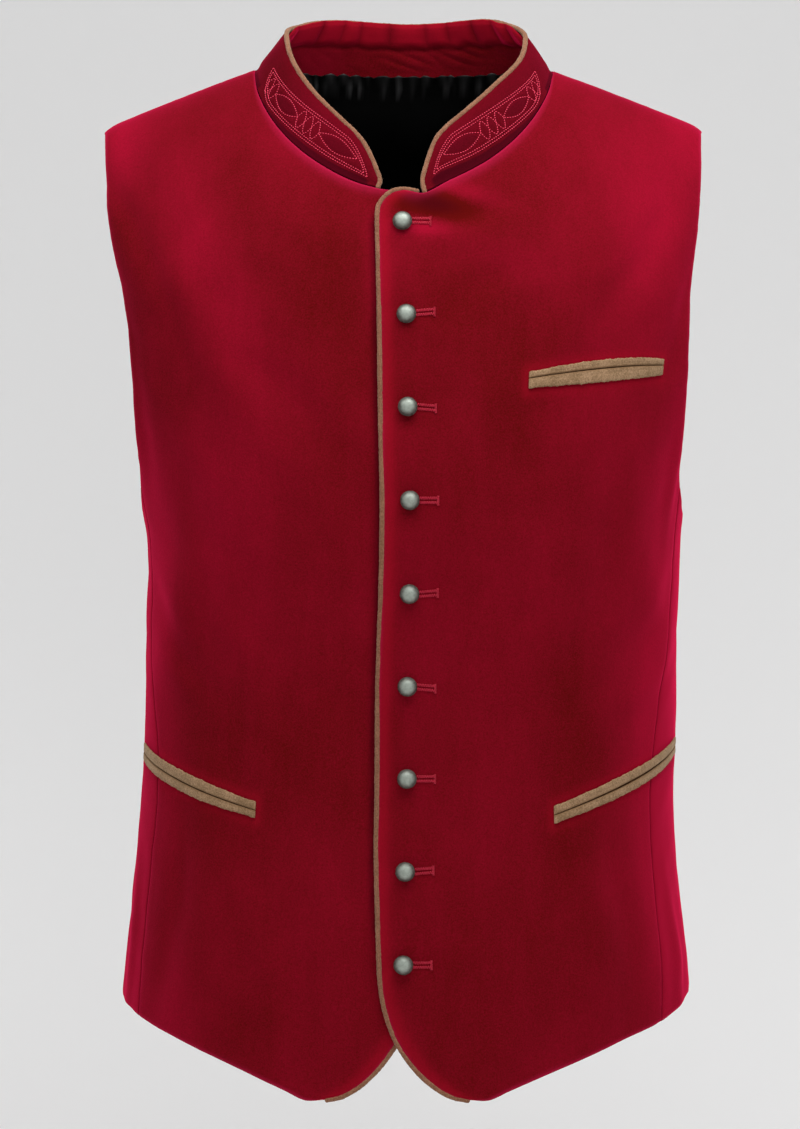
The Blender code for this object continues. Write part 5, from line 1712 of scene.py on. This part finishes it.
pewterLook = {
    "metal": (0.350, 0.392, 0.345), "tarnishAndShade": (0.058, 0.050, 0.042),
    "tarnishFrom": 0.42, "tarnishTo": 1.02, "tarnishShare": 0.85,  # shares of the radius
    "spots": {"Scale": 420.0, "Detail": 4.0, "Roughness": 0.6}, "spotLevel": 0.42, "spotShare": 0.9,
    "smooth": 0.56, "tarnishRough": 0.18, "bump": (0.20, 0.0003),
    "shine": {"Metallic": 0.62, "Roughness": 0.6, "Specular IOR Level": 0.35},
}


def makePewter():
    # dark towards the button's rim, as tarnish and as painted shade where the dome falls away, and in small
    # spots, where it is rougher too
    look = pewterLook
    material, tree, surface = startMaterial("agedPewter", look["shine"])
    spots = noiseOn(tree, addNode(tree, "ShaderNodeTexCoord").outputs["Object"], look["spots"])
    edge = smoothRange(tree, markOf(tree, "tarnishAndShade"), look["tarnishFrom"], look["tarnishTo"])
    speck = overLevel(tree, spots, look["spotLevel"], look["spotShare"], clamp=True)
    dark = mathNode(tree, "ADD", mathNode(tree, "MULTIPLY", edge, look["tarnishShare"]), speck, clamp=True)
    rough = mathNode(tree, "ADD", mathNode(tree, "MULTIPLY", dark, look["tarnishRough"]), look["smooth"])
    tree.links.new(rough, surface.inputs["Roughness"])
    finishSurface(tree, surface, mixColours(tree, dark, look["metal"], look["tarnishAndShade"]), spots, *look["bump"])
    return material


threadLook = {
    "embroidery": ((0.50, 0.010, 0.040), (0.80, 0.055, 0.120)),
    "buttonhole": ((0.34, 0.004, 0.018), (0.56, 0.012, 0.046)),
    "tone": {"Scale": 240.0, "Detail": 2.0}, "strands": {"Scale": 2600.0, "Detail": 1.0},
    "shine": {"Roughness": 0.55, "Specular IOR Level": 0.25, "Sheen Weight": 0.3, "Sheen Roughness": 0.4,
              "Sheen Tint": (1.0, 0.25, 0.35, 1)},
    "bump": (0.3, 0.0002),
}


def makeThread(kind):
    material, tree, surface = startMaterial(kind + "Thread", threadLook["shine"])
    place = addNode(tree, "ShaderNodeTexCoord").outputs["Object"]
    colour = mixColours(tree, noiseOn(tree, place, threadLook["tone"]), *threadLook[kind])
    finishSurface(tree, surface, colour, noiseOn(tree, place, threadLook["strands"]), *threadLook["bump"])
    return material


# dark brown cloth that stands for the shade inside the pockets
mouthShadeLook = {
    "pile": {"Deep": (0.070, 0.030, 0.010, 1), "Lit": (0.150, 0.072, 0.028, 1),
             "Patch Scale": 160.0, "Fibre Scale": 1400.0},
    "shine": {"Roughness": 0.95, "Specular IOR Level": 0.05}, "bump": (0.3, 0.0003),
}


def makeMouthShadeCloth():
    material, tree, surface = startMaterial("pocketMouthShade", mouthShadeLook["shine"])
    pile = useGroup(tree, pileGroup, mouthShadeLook["pile"])
    finishSurface(tree, surface, pile.outputs["Color"], pile.outputs["Height"], *mouthShadeLook["bump"])
    return material


velvet, velvetMarked = makeVelvet("crimsonVelvet", False), makeVelvet("crimsonVelvetMarked", True)
# a darker copy of the velvet for the collar's inner face and the band's hidden face: painted shade
velvetShadedInside = makeVelvet("crimsonVelvetShadedInside", False, 0.85)
# darker copies for the collar, with less sheen, and for the band
velvetCollar = makeVelvet("crimsonVelvetCollar", True, 0.84, 0.42)
velvetBand = makeVelvet("crimsonVelvetBand", True, 0.94)
satin = makeSatin()
suede, suedeSlitShaded = makeSuede("tanSuede", "cord", False), makeSuede("tanSuedeWelt", "welt", True)
pewter, mouthShadeCloth = makePewter(), makeMouthShadeCloth()
thread, holeThread = makeThread("embroidery"), makeThread("buttonhole")
print("materials made")


def finishPiece(piece, materials, node, stands=True):
    # a piece that stands for its solid, or else is added beside it
    for material in materials:
        piece.data.materials.append(material)
    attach(piece, "root")
    if stands:
        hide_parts(node)


for piece, materials, node in [
        (frontLeft, [velvetMarked, satin], "front_left"), (frontRight, [velvetMarked, satin], "front_right"),
        (sideLeft, [velvet, satin], "side_left"), (sideRight, [velvet, satin], "side_right"),
        (backLeft, [velvet, velvet], "back_left"), (backRight, [velvet, velvet], "back_right"),
        (backLining, [satin, satin], "lining_back"), (standCollar, [velvetCollar, velvetShadedInside], "collar"),
        (collarBand, [velvetShadedInside, velvetBand], "collar_band"), (collarCord, [suede], "cord_collar"),
        (cordLeft, [suede], "cord_front_left"), (cordRight, [suede], "cord_front_right")]:
    finishPiece(piece, materials, node)
for (name, lip), piece in welts.items():
    finishPiece(piece, [suedeSlitShaded, suedeSlitShaded], pockets[name]["node"] + "_" + lip.lower())
finishPiece(pocketMouthShades, [mouthShadeCloth], "breast_pocket_lower", False)
for number, piece in enumerate(buttons):
    finishPiece(piece, [pewter], "button_" + str(number + 1))
finishPiece(collarEmbroidery, [thread], "collar", False)
finishPiece(buttonholes, [holeThread], "front_left", False)


leastFill, aimedFill = 0.31, 0.32  # shares of the rectangle that a bowed strip fills


def declareCut(piece):
    # works out the panel's own area and a rectangle that holds its cut; the rectangle of a panel that
    # fills too little of it, or more than all of it, is made to fit; the results are not kept
    width, length = piece["cutSize"]
    area = piece["cutArea"]
    if area < leastFill * width * length:
        length = area / aimedFill / width
    if area > width * length:
        length = area / width


declareCut(frontLeft)
declareCut(frontRight)
for piece in (sideLeft, sideRight, backLeft, backRight):
    declareCut(piece)
declareCut(backLining)
declareCut(standCollar)
declareCut(collarBand)


studio = {
    "distance": 6.0, "yaw": 1.2, "height": -0.3214, "side": -0.0026,  # of the camera
    "metresAPixel": 0.00065, "pixelsTall": 1129, "sensor": 36.0,
    "paper": (0.90, 0.90, 0.90, 1), "floor": -0.78, "halfWidth": 14.0, "front": -12.0, "back": 1.6,
    "tall": 6.0, "bend": 1.2, "bendPoints": 24,
    "sky": 0.185, "aim": (0, 0, -0.3),
    # place, width, power
    "lamps": [("softLeft", (-1.3, 0.35, 0.5), 1.0, 6), ("softRight", (1.3, 0.30, 0.5), 1.0, 6),
              ("softTop", (0.32, -0.60, 0.75), 0.8, 12), ("softCrown", (-0.45, -0.60, 0.80), 0.8, 7),
              ("softFront", (0.5, -4.2, 0.2), 1.8, 25)],
    # a lamp hidden behind the vest, for its back
    "backLamp": {"place": (0.0, 1.3, -0.28), "power": 7, "spread": 38, "blend": 0.8, "size": 0.10},
}


def makeCamera():
    yaw, distance = math.radians(studio["yaw"]), studio["distance"]
    data = bpy.data.cameras.new("camera")
    data.sensor_width = studio["sensor"]
    data.sensor_fit = "AUTO"
    data.lens = studio["sensor"] * distance / (studio["metresAPixel"] * studio["pixelsTall"])
    camera = addObject("camera", data)
    camera.location = (distance * math.sin(yaw) + studio["side"], -distance * math.cos(yaw), studio["height"])
    camera.rotation_euler = (math.pi / 2, 0, yaw)
    bpy.context.scene.camera = camera


def makePaper():
    # a pale sheet of paper: the floor, a wide quarter bend, and the wall behind
    turn = np.linspace(0, math.pi / 2, studio["bendPoints"])
    back, bend = studio["back"], studio["bend"]
    y = np.concatenate([[studio["front"]], back - bend + bend * np.sin(turn), [back]])
    z = studio["floor"] + np.concatenate([[0], bend * (1 - np.cos(turn)), [studio["tall"]]])
    x = np.linspace(-studio["halfWidth"], studio["halfWidth"], 3)
    points = np.stack(np.broadcast_arrays(x[:, None], y[None], z[None]), -1)
    index = np.arange(points.shape[0] * points.shape[1]).reshape(points.shape[:2])
    paper = meshPiece("paperSweep", points.reshape(-1, 3), quadsOf(index))
    material, tree, surface = startMaterial("palePaper", {
        "Base Color": studio["paper"], "Roughness": 0.95, "Specular IOR Level": 0.0})
    # the sheet is looked through from behind, so that the back can be seen past it
    behind = addNode(tree, "ShaderNodeNewGeometry").outputs["Backfacing"]
    tree.links.new(mathNode(tree, "SUBTRACT", 1.0, behind), surface.inputs["Alpha"])
    paper.data.materials.append(material)


def makeSky():
    world = bpy.data.worlds.new("studio")
    world.use_nodes = True
    background = world.node_tree.nodes["Background"]
    background.inputs["Color"].default_value = (1.0, 1.0, 1.0, 1)
    background.inputs["Strength"].default_value = studio["sky"]
    bpy.context.scene.world = world


def makeLamps():
    for name, place, size, power in studio["lamps"]:
        data = bpy.data.lights.new(name, "AREA")
        data.shape, data.size, data.energy = "SQUARE", size, power
        lamp = addObject(name, data)
        lamp.location = place
        aim = np.array(studio["aim"]) - np.array(place)
        heading = math.atan2(aim[0], -aim[1]) + math.pi
        lamp.rotation_euler = (math.acos(-aim[2] / np.linalg.norm(aim)), 0, heading)
    values = studio["backLamp"]
    data = bpy.data.lights.new("backLamp", "SPOT")
    data.energy, data.spot_size = values["power"], math.radians(values["spread"])
    data.spot_blend, data.shadow_soft_size = values["blend"], values["size"]
    lamp = addObject("backLamp", data)
    lamp.location = values["place"]
    lamp.rotation_euler = (math.pi / 2, 0, math.pi)


makeCamera()
makePaper()
makeSky()
makeLamps()
bpy.context.scene.view_settings.view_transform = "Standard"
print("camera and studio set")
